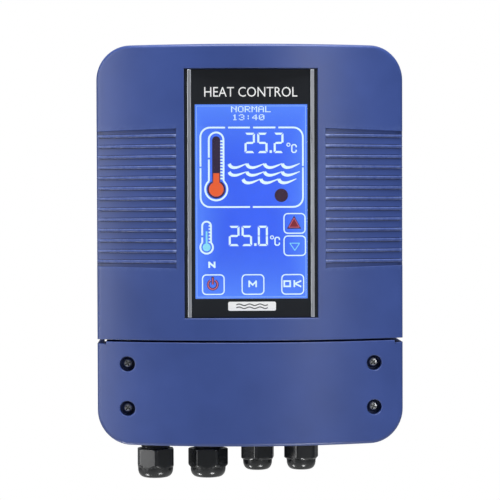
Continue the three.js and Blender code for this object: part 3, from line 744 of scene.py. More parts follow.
def weave_cover(columns, rows, split, flip, shape):
    """Builds a cover as a bmesh in millimetres.

    Rows run from the split line up to the far end, and `flip` turns the cover upside down. `shape` holds the
    functions lift(x, row), front(x, z, row), back(x, z), side_dent(row) and is_window(x, z), and the bores.
    """
    bm = bmesh.new()

    def crossing(x, row):
        squeeze = (outline_half_width(row) - STRAIGHT_HALF) / (HALF_WIDTH - STRAIGHT_HALF)
        if abs(x) > STRAIGHT_HALF:
            x = math.copysign(STRAIGHT_HALF + (abs(x) - STRAIGHT_HALF) * squeeze, x)
        return x, row + shape["lift"](x, row)

    def pulled_in(x, z):
        """The same crossing on the inner skin: no nearer to the outline than a wall's thickness."""
        missing = WALL - inside_outline(x, z)
        if missing > 0:
            x, z = inset_point(x, z, missing)
        return x, max(z, split + shape["lift"](x, split) + WALL)

    outer, inner = {}, {}
    for j, row in enumerate(rows):
        for i, column in enumerate(columns):
            x, z = crossing(column, row)
            outer[i, j] = bm.verts.new((x, shape["front"](x, z, row), z))
            x, z = pulled_in(x, z)
            inner[i, j] = bm.verts.new((x, shape["back"](x, z), z))

    last_i, last_j = len(columns) - 1, len(rows) - 1
    gone = set()
    for i in range(last_i):
        for j in range(last_j):
            x, z = (columns[i] + columns[i + 1]) / 2, (rows[j] + rows[j + 1]) / 2
            in_bore = any(abs(x - bx) < half and abs(z - bz) < half for bx, bz, half in shape["bores"])
            if in_bore or shape["is_window"](x, z):
                gone.add((i, j))
    for i in range(last_i):
        for j in range(last_j):
            if (i, j) in gone:
                continue
            for skin in (outer, inner):
                bm.faces.new((skin[i, j], skin[i + 1, j], skin[i + 1, j + 1], skin[i, j + 1]))
            for di, dj, a, b in NEIGHBOURS:
                if (i + di, j + dj) in gone and shape["is_window"](
                    (columns[i + di] + columns[i + di + 1]) / 2, (rows[j + dj] + rows[j + dj + 1]) / 2
                ):
                    p, q = (i + a[0], j + a[1]), (i + b[0], j + b[1])
                    bm.faces.new((outer[p], outer[q], inner[q], inner[p]))

    around = [(i, 0) for i in range(last_i)] + [(last_i, j) for j in range(last_j)]
    around += [(i, last_j) for i in range(last_i, 0, -1)] + [(0, j) for j in range(last_j, 0, -1)]
    # (depth, inwards from the side, up from the split line, whether the grip pockets still dent the side)
    chain = [
        (DENT_END + 0.35, 0.0, 0.0, True), (DENT_END - 0.05, 0.0, 0.0, False),
        (COVER_REAR + 0.5, 0.0, 0.0, False), (COVER_REAR + 0.15, 0.15, 0.0, False),
        (COVER_REAR, 0.5, 0.0, False), (COVER_REAR, WALL - 0.4, 0.0, False),
        (COVER_REAR + 0.4, WALL, 0.0, False), (LANDING, WALL, 0.0, False),
        (LANDING, LEDGE_INSET, WALL, False), (LANDING + LEDGE_THICK, LEDGE_INSET, WALL, False),
        (LANDING + LEDGE_THICK, WALL, WALL, False),
    ]
    before = [outer[key] for key in around]
    for depth, side, at_split, dented in chain:
        loop = []
        for i, j in around:
            row = rows[j]
            x, z = crossing(columns[i], row)
            level = depth
            if j == 0:
                if abs(x) < HALF_WIDTH - WALL:
                    level = max(depth, LANDING)
                x = math.copysign(min(abs(x), HALF_WIDTH - side), x)
                z += at_split
            else:
                x, z = inset_point(x, z, side + (shape["side_dent"](row) if dented else 0.0))
                z = max(z, split + shape["lift"](x, split) + at_split)
            loop.append(bm.verts.new((x, level, z)))
        bridge(bm, before, loop)
        before = loop
    bridge(bm, before, [inner[key] for key in around])

    for bx, bz, half in shape["bores"]:
        i0, i1 = [min(range(len(columns)), key=lambda i: abs(columns[i] - v)) for v in (bx - half, bx + half)]
        j0, j1 = [min(range(len(rows)), key=lambda j: abs(rows[j] - v)) for v in (bz - half, bz + half)]
        rim = [(i, j0) for i in range(i0, i1)] + [(i1, j) for j in range(j0, j1)]
        rim += [(i, j1) for i in range(i1, i0, -1)] + [(i0, j) for j in range(j1, j0, -1)]
        shape["bore"](bm, bx, bz, [outer[key] for key in rim], [inner[key] for key in rim])
    if flip:
        bm.transform(Matrix.Diagonal((1, 1, -1, 1)))
    return bm


# %% [markdown]
# ### Main cover
# Its front has the recess for the black panel, with the display's window in the recess floor, and a shallow
# pocket each side for the grip ribs. The pockets run round onto the sides, so the ribs can be felt by
# whoever lifts the cover off. Behind the front there is a thick pad that carries the display, and posts for
# the screws from behind.

# %% Main cover
(_, PANEL_RIGHT), _, (PANEL_BOTTOM, PANEL_TOP) = box_mm("fascia_panel")
PANEL_GAP = 0.4
RECESS_HALF = PANEL_RIGHT + PANEL_GAP
RECESS_LOW, RECESS_HIGH = PANEL_BOTTOM - PANEL_GAP, PANEL_TOP + PANEL_GAP
RECESS_FLOOR = box_mm("display_seal")[1][0] - 0.3
RECESS_ROUND = 0.6
(_, LCD_HALF), _, (LCD_LOW, LCD_HIGH) = box_mm("lcd_panel")
PAD = {"half": 55.0, "low": -59.5, "high": 135.5, "rear": 93.6}
COVER_POST = {"radius": 4.5, "bore": 2.2, "end": 14.4, "bottom": 36}
BOARD_POST = {"radius": 3.0, "bore": 1.5, "end": 88.3, "bottom": 92}
POCKET = {"inner": 54.8, "low": -16.85, "high": 85.45, "taper": 1.45, "blend": 9, "depth": 1.0, "side": 0.8}


def pocket_mask(x, row):
    """1 in the grip pockets and 0 elsewhere."""
    inside = smooth_step(abs(x), POCKET["inner"]) * smooth_step(row, POCKET["low"])
    return inside * (1 - smooth_step(row, POCKET["high"]))


def pocket_lift(x, row):
    """The pockets' ends slant a little: they close up towards the sides."""
    outward = max(0.0, abs(x) - POCKET["inner"]) / (HALF_WIDTH - POCKET["inner"])
    lift = 0.0
    for end, way in ((POCKET["low"], 1), (POCKET["high"], -1)):
        lift += way * POCKET["taper"] * outward * max(0.0, 1 - abs(row - end) / POCKET["blend"])
    return lift


def main_front(x, z, row):
    """Depth of the main cover's front."""
    centre, half = (RECESS_LOW + RECESS_HIGH) / 2, (RECESS_HIGH - RECESS_LOW) / 2
    qx, qz = abs(x) - RECESS_HALF, abs(row - centre) - half
    away = math.hypot(max(qx, 0), max(qz, 0)) + min(max(qx, qz), 0)
    if away < -0.05:
        return RECESS_FLOOR
    rim = max(
        round_drop(inside_outline(x, z), EDGE_ROUND), round_drop(row - SPLIT_TOP, SPLIT_ROUND),
        round_drop(away, RECESS_ROUND),
    )
    return crown(x, POCKET["depth"] * pocket_mask(x, row)) - rim


def main_back(x, z):
    """Depth of the main cover's inside."""
    if abs(x) <= PAD["half"] and PAD["low"] <= z <= PAD["high"]:
        return PAD["rear"]
    return crown(x, WALL)


def add_post(bm, x, z, post, root):
    """A round post that grows from the inside of a cover at the depth `root`, with a blind pilot hole."""
    radius, bore, end = post["radius"], post["bore"], post["end"]
    front_lathe(
        bm, x, z,
        [(radius + 1.2, root), (radius, root - 5), (radius - 0.15, end + 0.3), (radius - 0.5, end),
         (bore + 0.4, end), (bore, end + 0.4), (bore, post["bottom"])],
        28,
    )


def make_main_cover():
    soft = (-0.2, -0.1, 0.0, 0.1, 0.2)
    half = lines(
        (0, 42, 6), LCD_HALF + 0.5, RECESS_HALF - 0.06, *edge_lines(RECESS_HALF, RECESS_ROUND, 1), 52,
        *[POCKET["inner"] + s for s in soft], 55.02, (58, 108, 3.2), *RIM_COLUMNS,
    )
    rows = lines(
        *edge_lines(SPLIT_TOP, SPLIT_ROUND, 1), SPLIT_TOP + WALL, (-62, -56, 3), PAD["low"],
        RECESS_LOW + 0.06, *edge_lines(RECESS_LOW, RECESS_ROUND, -1), LCD_LOW - 0.5, (-36, -20, 5),
        *[POCKET["low"] + s for s in soft], (-12, 80, 6), *[POCKET["high"] + s for s in soft], (90, 100, 5),
        LCD_HIGH + 0.5, (112, 118, 6), RECESS_HIGH - 0.06, *edge_lines(RECESS_HIGH, RECESS_ROUND, 1),
        PAD["high"], *corner_rows(),
    )
    shape = {
        "lift": pocket_lift,
        "front": main_front,
        "back": main_back,
        "side_dent": lambda row: POCKET["side"] * pocket_mask(HALF_WIDTH, row),
        "is_window": lambda x, z: abs(x) < LCD_HALF + 0.5 and LCD_LOW - 0.5 < z < LCD_HIGH + 0.5,
        "bores": [],
    }
    bm = weave_cover(mirrored(half), rows, SPLIT_TOP, False, shape)
    for n in range(1, 5):
        x, _, z = middle_mm(f"main_cover_screw_{n}")
        add_post(bm, x, z, COVER_POST, crown(abs(x) + 6, 1))
        x, _, z = middle_mm(f"display_board_screw_{n}")
        add_post(bm, x, z, BOARD_POST, PAD["rear"] + 1)
    return to_mesh("main_cover", bm)


main_cover = add_piece(
    "main_cover_shell", make_main_cover(), case_blue, "front_cover", "case_blue", "main_cover"
)
print("main cover:", len(main_cover.data.polygons), "faces")

# %% [markdown]
# ### Terminal cover
# The lower cover has four deep counterbores for its captive screws. A round bore is worked into the square
# net as a patch: the cells around it are left out, and rings of vertices change the square step by step
# into a circle, go down the bore, and come back up outside the boss to the inner skin. At both ends of the
# split line there is a slot to pry the cover off with.

# %% Terminal cover
SCREW_SEAT = 77.5
BORE_RADIUS = 5.6
BORE_PATCH = 8.6
BOSS_RADIUS = 7.8
MOUTH_ROUND = 0.6
PRY = {"length": 6.5, "height": 1.7, "blend": 6}
SPLIT_LINE = -SPLIT_BOTTOM


def pry_lift(x, row):
    """Rows near the split line give way to the pry slots at both ends."""
    at_end = 1.0 if abs(x) > HALF_WIDTH - PRY["length"] else 0.0
    return at_end * PRY["height"] * max(0.0, 1 - (row - SPLIT_LINE) / PRY["blend"])


def terminal_front(x, z, row):
    """Depth of the terminal cover's front."""
    rim = max(round_drop(inside_outline(x, z), EDGE_ROUND), round_drop(row - SPLIT_LINE, SPLIT_ROUND))
    return crown(x) - rim


def counterbore(bm, x, z, outer_rim, inner_rim):
    """Rings from the outer skin down the counterbore, through the boss and back to the inner skin."""
    ways = [Vector((v.co.x - x, 0, v.co.z - z)) for v in outer_rim]

    def loop(radius, depth_at, blend=0.0):
        made = []
        for way in ways:
            reach = radius * (1 - blend) + way.length * blend
            p = way.normalized() * reach
            made.append(bm.verts.new((x + p.x, depth_at(x + p.x), z + p.z)))
        return made

    chain = [loop(BORE_RADIUS + MOUTH_ROUND, crown, blend) for blend in (0.6, 0.25, 0.0)]
    for inward, drop in reversed(round_steps(MOUTH_ROUND, 4)[:-1]):
        chain.append(loop(BORE_RADIUS + inward, lambda px, d=drop: crown(px) - d))
    for radius, depth in (
        (BORE_RADIUS - 0.08, SCREW_SEAT + 0.4), (BORE_RADIUS - 0.4, SCREW_SEAT), (2.6, SCREW_SEAT),
        (2.3, SCREW_SEAT - 0.3), (2.3, LANDING), (4.6, LANDING), (5.0, LANDING + 0.4), (5.0, SCREW_SEAT - 3),
        (BOSS_RADIUS - 0.3, SCREW_SEAT - 3), (BOSS_RADIUS, SCREW_SEAT - 2.7),
    ):
        chain.append(loop(radius, lambda px, d=depth: d))
    chain.append(loop(BOSS_RADIUS, lambda px: crown(px, WALL)))
    before = outer_rim
    for after in chain + [inner_rim]:
        bridge(bm, before, after)
        before = after


def make_terminal_cover():
    places = [middle_mm(f"terminal_cover_screw_{n}") for n in range(1, 5)]
    bores = [(x, -z, BORE_PATCH) for x, _, z in places]
    bore_x, bore_z = abs(bores[0][0]), sorted({round(z, 3) for _, z, _ in bores})
    slot = HALF_WIDTH - PRY["length"]
    half = lines(
        (0, 76, 4), bore_x - BORE_PATCH, bore_x + BORE_PATCH, (bore_x - 6, bore_x + 6, 2.4), 103,
        slot - 0.02, slot + 0.02, *RIM_COLUMNS,
    )
    rows = lines(
        *edge_lines(SPLIT_LINE, SPLIT_ROUND, 1), SPLIT_LINE + WALL, SPLIT_LINE + PRY["blend"],
        *[z + s for z in bore_z for s in (-BORE_PATCH, -6, -3.6, -1.2, 1.2, 3.6, 6, BORE_PATCH)],
        (bore_z[0] + BORE_PATCH, bore_z[1] - BORE_PATCH, 5), *corner_rows(),
    )
    shape = {
        "lift": pry_lift,
        "front": terminal_front,
        "back": lambda x, z: crown(x, WALL),
        "side_dent": lambda row: 0.0,
        "is_window": lambda x, z: False,
        "bores": bores,
        "bore": counterbore,
    }
    return to_mesh("terminal_cover", weave_cover(mirrored(half), rows, SPLIT_LINE, True, shape))


terminal_cover = add_piece(
    "terminal_cover_shell", make_terminal_cover(), case_blue, "wiring_cover", "case_blue", "terminal_cover"
)
print("terminal cover:", len(terminal_cover.data.polygons), "faces")

# %% [markdown]
# ## Shapes that repeat
# Ribs, ticks, pins and clamp screws stand in even rows. One Geometry Nodes tree does all of them: it lays
# points along a line, puts the pattern on each, lays that row along a second line, and turns the instances
# into real mesh with a material. The tree's inputs are set on the modifier by their identifiers before it
# is first evaluated, and the result is then taken as a plain mesh.


# %% The repeating node tree
def make_repeat_tree():
    tree = bpy.data.node_groups.new("repeat_in_rows", "GeometryNodeTree")
    for title, kind in (
        ("Pattern", "NodeSocketObject"), ("Start", "NodeSocketVector"), ("Columns", "NodeSocketInt"),
        ("Column Step", "NodeSocketVector"), ("Rows", "NodeSocketInt"), ("Row Step", "NodeSocketVector"),
        ("Material", "NodeSocketMaterial"),
    ):
        tree.interface.new_socket(title, in_out="INPUT", socket_type=kind)
    tree.interface.new_socket("Geometry", in_out="OUTPUT", socket_type="NodeSocketGeometry")
    given, out = tree.nodes.new("NodeGroupInput"), tree.nodes.new("NodeGroupOutput")
    pattern = tree.nodes.new("GeometryNodeObjectInfo")
    tree.links.new(given.outputs["Pattern"], pattern.inputs["Object"])
    shape = pattern.outputs["Geometry"]
    for count, step, start in (("Columns", "Column Step", "Start"), ("Rows", "Row Step", None)):
        line = tree.nodes.new("GeometryNodeMeshLine")
        tree.links.new(given.outputs[count], line.inputs["Count"])
        tree.links.new(given.outputs[step], line.inputs["Offset"])
        if start:
            tree.links.new(given.outputs[start], line.inputs["Start Location"])
        put = tree.nodes.new("GeometryNodeInstanceOnPoints")
        tree.links.new(line.outputs["Mesh"], put.inputs["Points"])
        tree.links.new(shape, put.inputs["Instance"])
        shape = put.outputs["Instances"]
    real = tree.nodes.new("GeometryNodeRealizeInstances")
    finish_with = tree.nodes.new("GeometryNodeSetMaterial")
    tree.links.new(shape, real.inputs["Geometry"])
    tree.links.new(real.outputs["Geometry"], finish_with.inputs["Geometry"])
    tree.links.new(given.outputs["Material"], finish_with.inputs["Material"])
    tree.links.new(finish_with.outputs["Geometry"], out.inputs["Geometry"])
    return tree


REPEAT = make_repeat_tree()
REPEAT_SOCKETS = {i.name: i.identifier for i in REPEAT.interface.items_tree if i.in_out == "INPUT"}


def mm_vector(x, depth, z):
    """A step or a place in millimetres as the scene's vector."""
    return (x * MM, -depth * MM, z * MM)


def repeat(
    name, pattern, material, start=(0, 0, 0), columns=1, column_step=(0, 0, 0), rows=1, row_step=(0, 0, 0)
):
    """A mesh of the pattern repeated in rows, through the node tree."""
    source = bpy.data.objects.new(name + "_pattern", pattern)
    holder = bpy.data.objects.new(name, bpy.data.meshes.new(name))
    for thing in (source, holder):
        bpy.context.scene.collection.objects.link(thing)
    modifier = holder.modifiers.new("rows", "NODES")
    modifier.node_group = REPEAT
    for title, value in {
        "Pattern": source, "Start": mm_vector(*start), "Material": material, "Columns": columns, "Rows": rows,
        "Column Step": mm_vector(*column_step), "Row Step": mm_vector(*row_step),
    }.items():
        modifier[REPEAT_SOCKETS[title]] = value
    graph = bpy.context.evaluated_depsgraph_get()
    mesh = bpy.data.meshes.new_from_object(holder.evaluated_get(graph))
    mesh.name = name
    bpy.data.objects.remove(holder)
    bpy.data.objects.remove(source)
    return mesh


# %% [markdown]
# ## Grip ribs
# A rib starts at the inner edge of its pocket, follows the crown outwards, goes round the rounded edge and
# down the side. Its section has small radii on top, and its foot is sunk in the pocket's floor so that no
# gap shows. The path gives a point and an outward direction at each step, and the section is placed across
# it.

# %% One rib, then thirteen each side
RIB_COUNT, RIB_PITCH, RIB_WIDTH, RIB_CENTRE = 13, 7.68, 2.0, 34.3


def rib_path(side):
    """Points (x, depth) along the outside of a rib with their outward directions."""
    flat = [POCKET["inner"] - 0.05 + (HALF_WIDTH - EDGE_ROUND - POCKET["inner"]) * i / 18 for i in range(19)]
    path = [Vector((x, crown(x))) for x in flat]
    for inward, drop in reversed(round_steps(EDGE_ROUND, 6)[:-1]):
        path.append(Vector((HALF_WIDTH - inward, crown(HALF_WIDTH - inward) - drop)))
    path += [Vector((HALF_WIDTH, depth)) for depth in (70, 64, DENT_END + 0.4)]
    steps = []
    for i, point in enumerate(path):
        along = path[min(i + 1, len(path) - 1)] - path[max(i - 1, 0)]
        out = Vector((-along.y, along.x)).normalized()
        steps.append(((side * point.x, point.y), (side * out.x, out.y)))
    return steps


def make_rib(side):
    half = RIB_WIDTH / 2
    # from the foot on one side over the top to the foot on the other: (height, across)
    side_up = [
        (-1.3, half + 0.7), (-0.985, half + 0.62), (-0.95, half + 0.3), (-0.85, half + 0.08), (-0.6, half),
        (-0.36, half - 0.08), (-0.16, half - 0.26), (-0.04, half - 0.5), (0.0, half - 0.8),
    ]
    section = [(out, -z) for out, z in side_up] + [(out, z) for out, z in reversed(side_up)]
    path = rib_path(side)
    mesh = drawn("rib", lambda bm: loft(
        bm, [[(x + nx * out, depth + nd * out, z) for out, z in section] for (x, depth), (nx, nd) in path]
    ))
    # the rib's foot is marked hollow on both sides, so that a painted line of shade runs along it
    foot = [1.0 if -0.99 < out < -0.7 else 0.0 for out, _ in section] * len(path)
    store_number(mesh, "hollow", foot)
    return mesh


for side, name in ((-1, "left"), (1, "right")):
    lowest = RIB_CENTRE - (RIB_COUNT - 1) / 2 * RIB_PITCH
    ribs = repeat(
        f"grip_ribs_{name}", make_rib(side), rib_blue, start=(0, 0, lowest), columns=RIB_COUNT,
        column_step=(0, 0, RIB_PITCH),
    )
    piece = add_piece(f"grip_ribs_{name}", ribs, rib_blue, "front_cover", "case_blue")
print("ribs each side:", RIB_COUNT, "with", len(piece.data.polygons), "faces")

# %% [markdown]
# ## Black panel and its metal strips
# Simple pieces keep the CAD shape, with their edges rounded. A copy of a CAD mesh is merged first, because
# the frame's triangles don't share vertices. Flat triangles are dissolved into whole faces, so that the
# Bevel operator rounds real edges only.


# %% Rounded copies of CAD pieces
def keep_shape(node, material, body, slot, width=0.3, segments=2, corner_degrees=35):
    """A piece that is its CAD node with the edges rounded by some millimetres."""
    bm = bmesh.new()
    bm.from_mesh(nodes[node].data)
    bm.transform(Matrix.Diagonal((1 / MM, -1 / MM, 1 / MM, 1)))
    bmesh.ops.remove_doubles(bm, verts=bm.verts, dist=0.01)
    bmesh.ops.recalc_face_normals(bm, faces=bm.faces)
    bmesh.ops.dissolve_limit(bm, angle_limit=0.01, verts=bm.verts, edges=bm.edges)
    limit = math.radians(corner_degrees)
    corners = [e for e in bm.edges if len(e.link_faces) == 2 and e.calc_face_angle(0) > limit]
    bmesh.ops.bevel(
        bm, geom=corners, offset=width, segments=segments, profile=0.5, affect="EDGES", clamp_overlap=True
    )
    return add_piece(node + "_piece", to_mesh(node, bm, 32), material, body, slot, node)


keep_shape("fascia_panel", fascia_black, "front_cover", "fascia_black", 0.25, 3)
keep_shape("display_seal", seal_rubber, "front_cover", "rubber", 0.08)
keep_shape("touch_glass", touch_glass, "front_cover", "display_glass", 0.12)
for name in ("fascia_trim_left", "fascia_trim_right"):
    keep_shape(name, satin_aluminium, "front_cover", "aluminium_trim", 0.35, 3)
print("panel pieces rounded")

# %% [markdown]
# ## Display
# The liquid-crystal panel is a slab whose front is lit. The symbols are thin plates just in front of it, as
# the segments of such a display are: strokes with small gaps where two meet. A stroke's outline comes from
# a line of points and a width, a digit from up to seven mitred plates, and a letter from straight strokes.


# %% Flat shapes
(SCREEN_LEFT, SCREEN_RIGHT), _, (SCREEN_LOW, SCREEN_HIGH) = box_mm("touch_glass")
LCD_FRONT = box_mm("lcd_panel")[1][1]


def prism(bm, outline, depth0, depth1):
    """A closed solid with an (x, z) outline between two depths."""
    loft(bm, [[(x, depth, z) for x, z in outline] for depth in (depth0, depth1)])


def plate(bm, outline, thick=0.16, depth=LCD_FRONT):
    """A thin plate with the outline [(x, z)...], standing on the panel's front unless a depth is given."""
    prism(bm, outline, depth, depth + thick)


def arc(x, z, radius, start, end, count=12):
    """Points along an arc, with its angles in degrees."""
    angles = [math.radians(start + (end - start) * i / count) for i in range(count + 1)]
    return [(x + radius * math.cos(a), z + radius * math.sin(a)) for a in angles]


def circle(x, z, radius, count=36):
    """Points round a whole circle."""
    return arc(x, z, radius, 0, 360 - 360 / count, count - 1)


def stroke(points, width):
    """The outline of a line drawn through points. `width` is one number or one for each point."""
    widths = [width] * len(points) if isinstance(width, (int, float)) else width
    left, right = [], []
    for i, (x, z) in enumerate(points):
        ahead, behind = points[min(i + 1, len(points) - 1)], points[max(i - 1, 0)]
        dx, dz = ahead[0] - behind[0], ahead[1] - behind[1]
        length = math.hypot(dx, dz)
        nx, nz = -dz / length * widths[i] / 2, dx / length * widths[i] / 2
        left.append((x + nx, z + nz))
        right.append((x - nx, z - nz))
    return left + right[::-1]


def box_outline(x0, x1, z0, z1):
    """The four corners of a rectangle."""
    return [(x0, z0), (x1, z0), (x1, z1), (x0, z1)]


def round_box(x0, x1, z0, z1, radius, count):
    """The four corner arcs of a rounded rectangle, from the upper right one round to the lower right one."""
    right, left, high, low = x1 - radius, x0 + radius, z1 - radius, z0 + radius
    corners = ((right, high, 0), (left, high, 90), (left, low, 180), (right, low, 270))
    return [arc(x, z, radius, start, start + 90, count) for x, z, start in corners]


def add_symbol(name, material, draw, slot="lcd_screen"):
    """A piece of thin plates on the front cover. `draw` puts them into an empty bmesh."""
    return add_piece(name, drawn(name, draw, 20), material, "front_cover", slot)


# %% Digits and letters
SEGMENTS = {"0": "abcdef", "2": "abged", "5": "afgcd"}
LETTER_LINES = {
    "N": [[(0, 0), (0, 1)], [(0, 1), (1, 0)], [(1, 0), (1, 1)]],
    "M": [[(0, 0), (0, 1)], [(0, 1), (0.5, 0.3)], [(0.5, 0.3), (1, 1)], [(1, 1), (1, 0)]],
    "O": [[(0, 0), (0, 1)], [(0, 1), (1, 1)], [(1, 1), (1, 0)], [(1, 0), (0, 0)]],
    "K": [[(0, 0), (0, 1)], [(1, 1), (0.1, 0.5)], [(0.1, 0.5), (1, 0)]],
}


def block_letter(bm, char, x0, x1, z0, z1, width):
    """A block letter in a box. Each line is lengthened by half its width, so that corners are filled."""
    half = width / 2
    for line in LETTER_LINES[char]:
        (ax, az), (bx, bz) = [
            (x0 + half + (x1 - x0 - width) * u, z0 + half + (z1 - z0 - width) * v) for u, v in line
        ]
        along = Vector((bx - ax, bz - az)).normalized() * half * 0.98
        plate(bm, stroke([(ax - along.x, az - along.y), (bx + along.x, bz + along.y)], width))


def celsius(bm, x0, x1, z0, z1, ring_x):
    """The degree ring and a C whose ends turn in."""
    r, hook = 0.8, 1.9
    upper = [(x1, z1 - hook), (x1, z1 - r), (x1 - r, z1), (x0 + r, z1), (x0, z1 - r)]
    lower = [(x, z0 + z1 - z) for x, z in reversed(upper)]
    plate(bm, stroke(upper + lower, 0.95))
    for start in (0, 180):
        plate(bm, stroke(arc(ring_x, z1, 1.15, start, start + 180, 8), 0.65))


def digit(bm, char, x0, x1, z0, z1, width):
    """A seven-segment digit in a box. Corners are mitred, with a gap where two segments meet."""
    gap, middle, w = 0.16 * width, (z0 + z1) / 2, width
    corner = 0.35 * width

    def side(x, toward, low, high, low_end, high_end):
        inner = x + toward * w
        plate(bm, [(x, low + (corner if low_end else gap)), (inner, low + w * low_end + gap),
                   (inner, high - w * high_end - gap), (x, high - (corner if high_end else gap))])

    def bar(z, toward):
        inner = z + toward * w
        plate(bm, [(x0 + corner, z), (x1 - corner, z), (x1 - w - gap, inner), (x0 + w + gap, inner)])

    parts = SEGMENTS[char]
    if "a" in parts:
        bar(z1, -1)
    if "d" in parts:
        bar(z0, 1)
    if "g" in parts:
        h = w / 2
        plate(bm, [(x0 + h + gap, middle), (x0 + w + gap, middle + h), (x1 - w - gap, middle + h),
                   (x1 - h - gap, middle), (x1 - w - gap, middle - h), (x0 + w + gap, middle - h)])
    for name, x, toward, low, high, low_end, high_end in (
        ("f", x0, 1, middle, z1, 0, 1), ("b", x1, -1, middle, z1, 0, 1),
        ("e", x0, 1, z0, middle, 1, 0), ("c", x1, -1, z0, middle, 1, 0),
    ):
        if name in parts:
            side(x, toward, low, high, low_end, high_end)


# %% [markdown]
# ### Lit panel
# The front of the slab is blue, lighter towards the rim, and a fine light line runs round it.

# %% Panel and rim line
screen_middle = ((SCREEN_LEFT + SCREEN_RIGHT) / 2, (SCREEN_LOW + SCREEN_HIGH) / 2)
screen_size = (SCREEN_RIGHT - SCREEN_LEFT, SCREEN_HIGH - SCREEN_LOW)
screen_blue = lit("screen_blue", "#3461f0", rim="#5488fa", size=screen_size, centre=screen_middle)
keep_shape("lcd_panel", screen_blue, "front_cover", "lcd_screen", 0.15)
symbol_pale = lit("symbol_pale", "#9cc3ff")


def draw_rim_line(bm):
    inset = 0.9
    x0, x1, z0, z1 = SCREEN_LEFT + inset, SCREEN_RIGHT - inset, SCREEN_LOW + inset, SCREEN_HIGH - inset
    for a, b in (((x0, z0), (x0, z1)), ((x1, z0), (x1, z1)), ((x0, z0), (x1, z0)), ((x0, z1), (x1, z1))):
        plate(bm, stroke([a, b], 0.35), 0.05)


add_symbol("screen_rim_line", symbol_pale, draw_rim_line)
print("screen", round(screen_size[0], 1), "x", round(screen_size[1], 1), "mm")


# %% [markdown]
# ### White symbols
# A rounded frame holds the water's temperature, a thermometer and three rows of waves. Below are the wanted
# temperature with its own small thermometer, two arrow keys, and three keys along the bottom.

# %% White symbols
FRAME_BOX = (-36.9, 38.1, 28.1, 86.2)
KEY_ROW = (-35.8, -21.5)
THERMOMETER = {
    "x": -25.4, "half": 5.35, "arc_z": 77.3, "bulb_z": 41.1, "bulb": 8.07, "line": 1.35, "gap": 63.6,
}
SMALL = {"x": -32.6, "half": 3.2, "arc_z": 14.3, "bulb_z": -1.3, "bulb": 4.6, "line": 1.3, "gap": 6.7}


def rounded_frame(bm, x0, x1, z0, z1, radius, width, gaps=()):
    """A rounded outline in strokes, broken by gaps given as (side, from, to)."""
    for corner in round_box(x0, x1, z0, z1, radius, 8):
        plate(bm, stroke(corner, width))
    for side, fixed, low, high in (("top", z1, x0, x1), ("bottom", z0, x0, x1), ("left", x0, z0, z1),
                                   ("right", x1, z0, z1)):
        cuts = sorted((a, b) for name, a, b in gaps if name == side)
        edges = [low + radius] + [v for pair in cuts for v in pair] + [high - radius]
        for a, b in zip(edges[::2], edges[1::2]):
            ends = [(a, fixed), (b, fixed)] if side in ("top", "bottom") else [(fixed, a), (fixed, b)]
            plate(bm, stroke(ends, width))


def thermometer(bm, x, half, arc_z, bulb_z, bulb, line, gap):
    """A thermometer's outline: a tube with a round top and a bulb, with a gap in its left wall."""
    neck = math.degrees(math.acos(half / bulb))
    foot = bulb_z + bulb * math.sin(math.radians(neck))
    plate(bm, stroke(arc(x, arc_z, half, 0, 180, 14), line))
    for side, high, low in ((1, arc_z, foot), (-1, arc_z, gap + 0.7), (-1, gap - 0.7, foot)):
        plate(bm, stroke([(x + side * half, high), (x + side * half, low)], line))
    for start, end in ((neck, -90), (-90, -180 - neck)):
        plate(bm, stroke(arc(x, bulb_z, bulb, start, end, 16), line))


def wave_row(bm, x0, x1, z0, z1, count):
    """A row of waves: each falls thick and steep from its crest, then rises slowly to a fine tip."""
    pitch = (x1 - x0) / count
    for i in range(count):
        points, widths = [], []
        for k in range(15):
            t = k / 14
            fall = math.sin(math.pi * t**0.62)
            points.append((x0 + pitch * (i + 0.03 + 0.99 * t), z1 - 0.6 - (z1 - z0 - 1.7) * fall + 0.3 * t))
            widths.append(2.5 - 2.0 * t**1.3)
        plate(bm, stroke(points, widths))


def draw_white(bm):
    gaps = [("top", -18.8, -16.6), ("top", -0.6, 1.7), ("top", 18.0, 20.2), ("left", 56.6, 57.7),
            ("right", 56.9, 58.0), ("bottom", -0.7, 1.3)]
    rounded_frame(bm, *FRAME_BOX, 7.0, 1.25, gaps)
    thermometer(bm, **THERMOMETER)
    thermometer(bm, **SMALL)
    for z0, z1, digits, dot_x, dot_z in (
        (67.5, 82.4, (("2", -4.6, 3.0), ("5", 4.7, 12.2), ("2", 16.7, 23.9)), 13.7, 67.6),
        (-0.5, 14.35, (("2", -16.4, -8.5), ("5", -7.0, 0.7), ("0", 4.9, 12.3)), 2.2, -0.4),
    ):
        for char, x0, x1 in digits:
            digit(bm, char, x0, x1, z0, z1, 1.54)
        plate(bm, box_outline(dot_x, dot_x + 1.7, dot_z, dot_z + 2.0))
    celsius(bm, 30.0, 33.2, 68.0, 73.6, 27.5)
    celsius(bm, 17.5, 20.7, 0.1, 5.8, 15.3)
    for char, x0, x1, z0, z1, width in (
        ("N", -31.4, -26.2, -16.4, -11.8, 1.3), ("M", -2.1, 4.1, -30.6, -25.8, 1.1),
        ("O", 23.6, 29.1, -30.7, -25.7, 1.15), ("K", 31.0, 36.7, -30.7, -25.7, 1.15),
    ):
        block_letter(bm, char, x0, x1, z0, z1, width)
    wave_row(bm, -16.4, 35.5, 55.7, 60.2, 4)
    wave_row(bm, -16.4, 35.5, 50.1, 54.3, 4)
    wave_row(bm, -6.3, 33.0, 44.5, 49.0, 3)
    for x0, x1, z0, z1 in (
        (24.1, 39.5, 8.8, 23.2), (24.1, 39.8, -7.5, 6.8), (-35.7, -19.9, *KEY_ROW), (-6.7, 9.2, *KEY_ROW),
        (22.4, 38.4, *KEY_ROW),
    ):
        rounded_frame(bm, x0, x1, z0, z1, 2.8, 0.85)


add_symbol("white_symbols", symbol_white, draw_white)

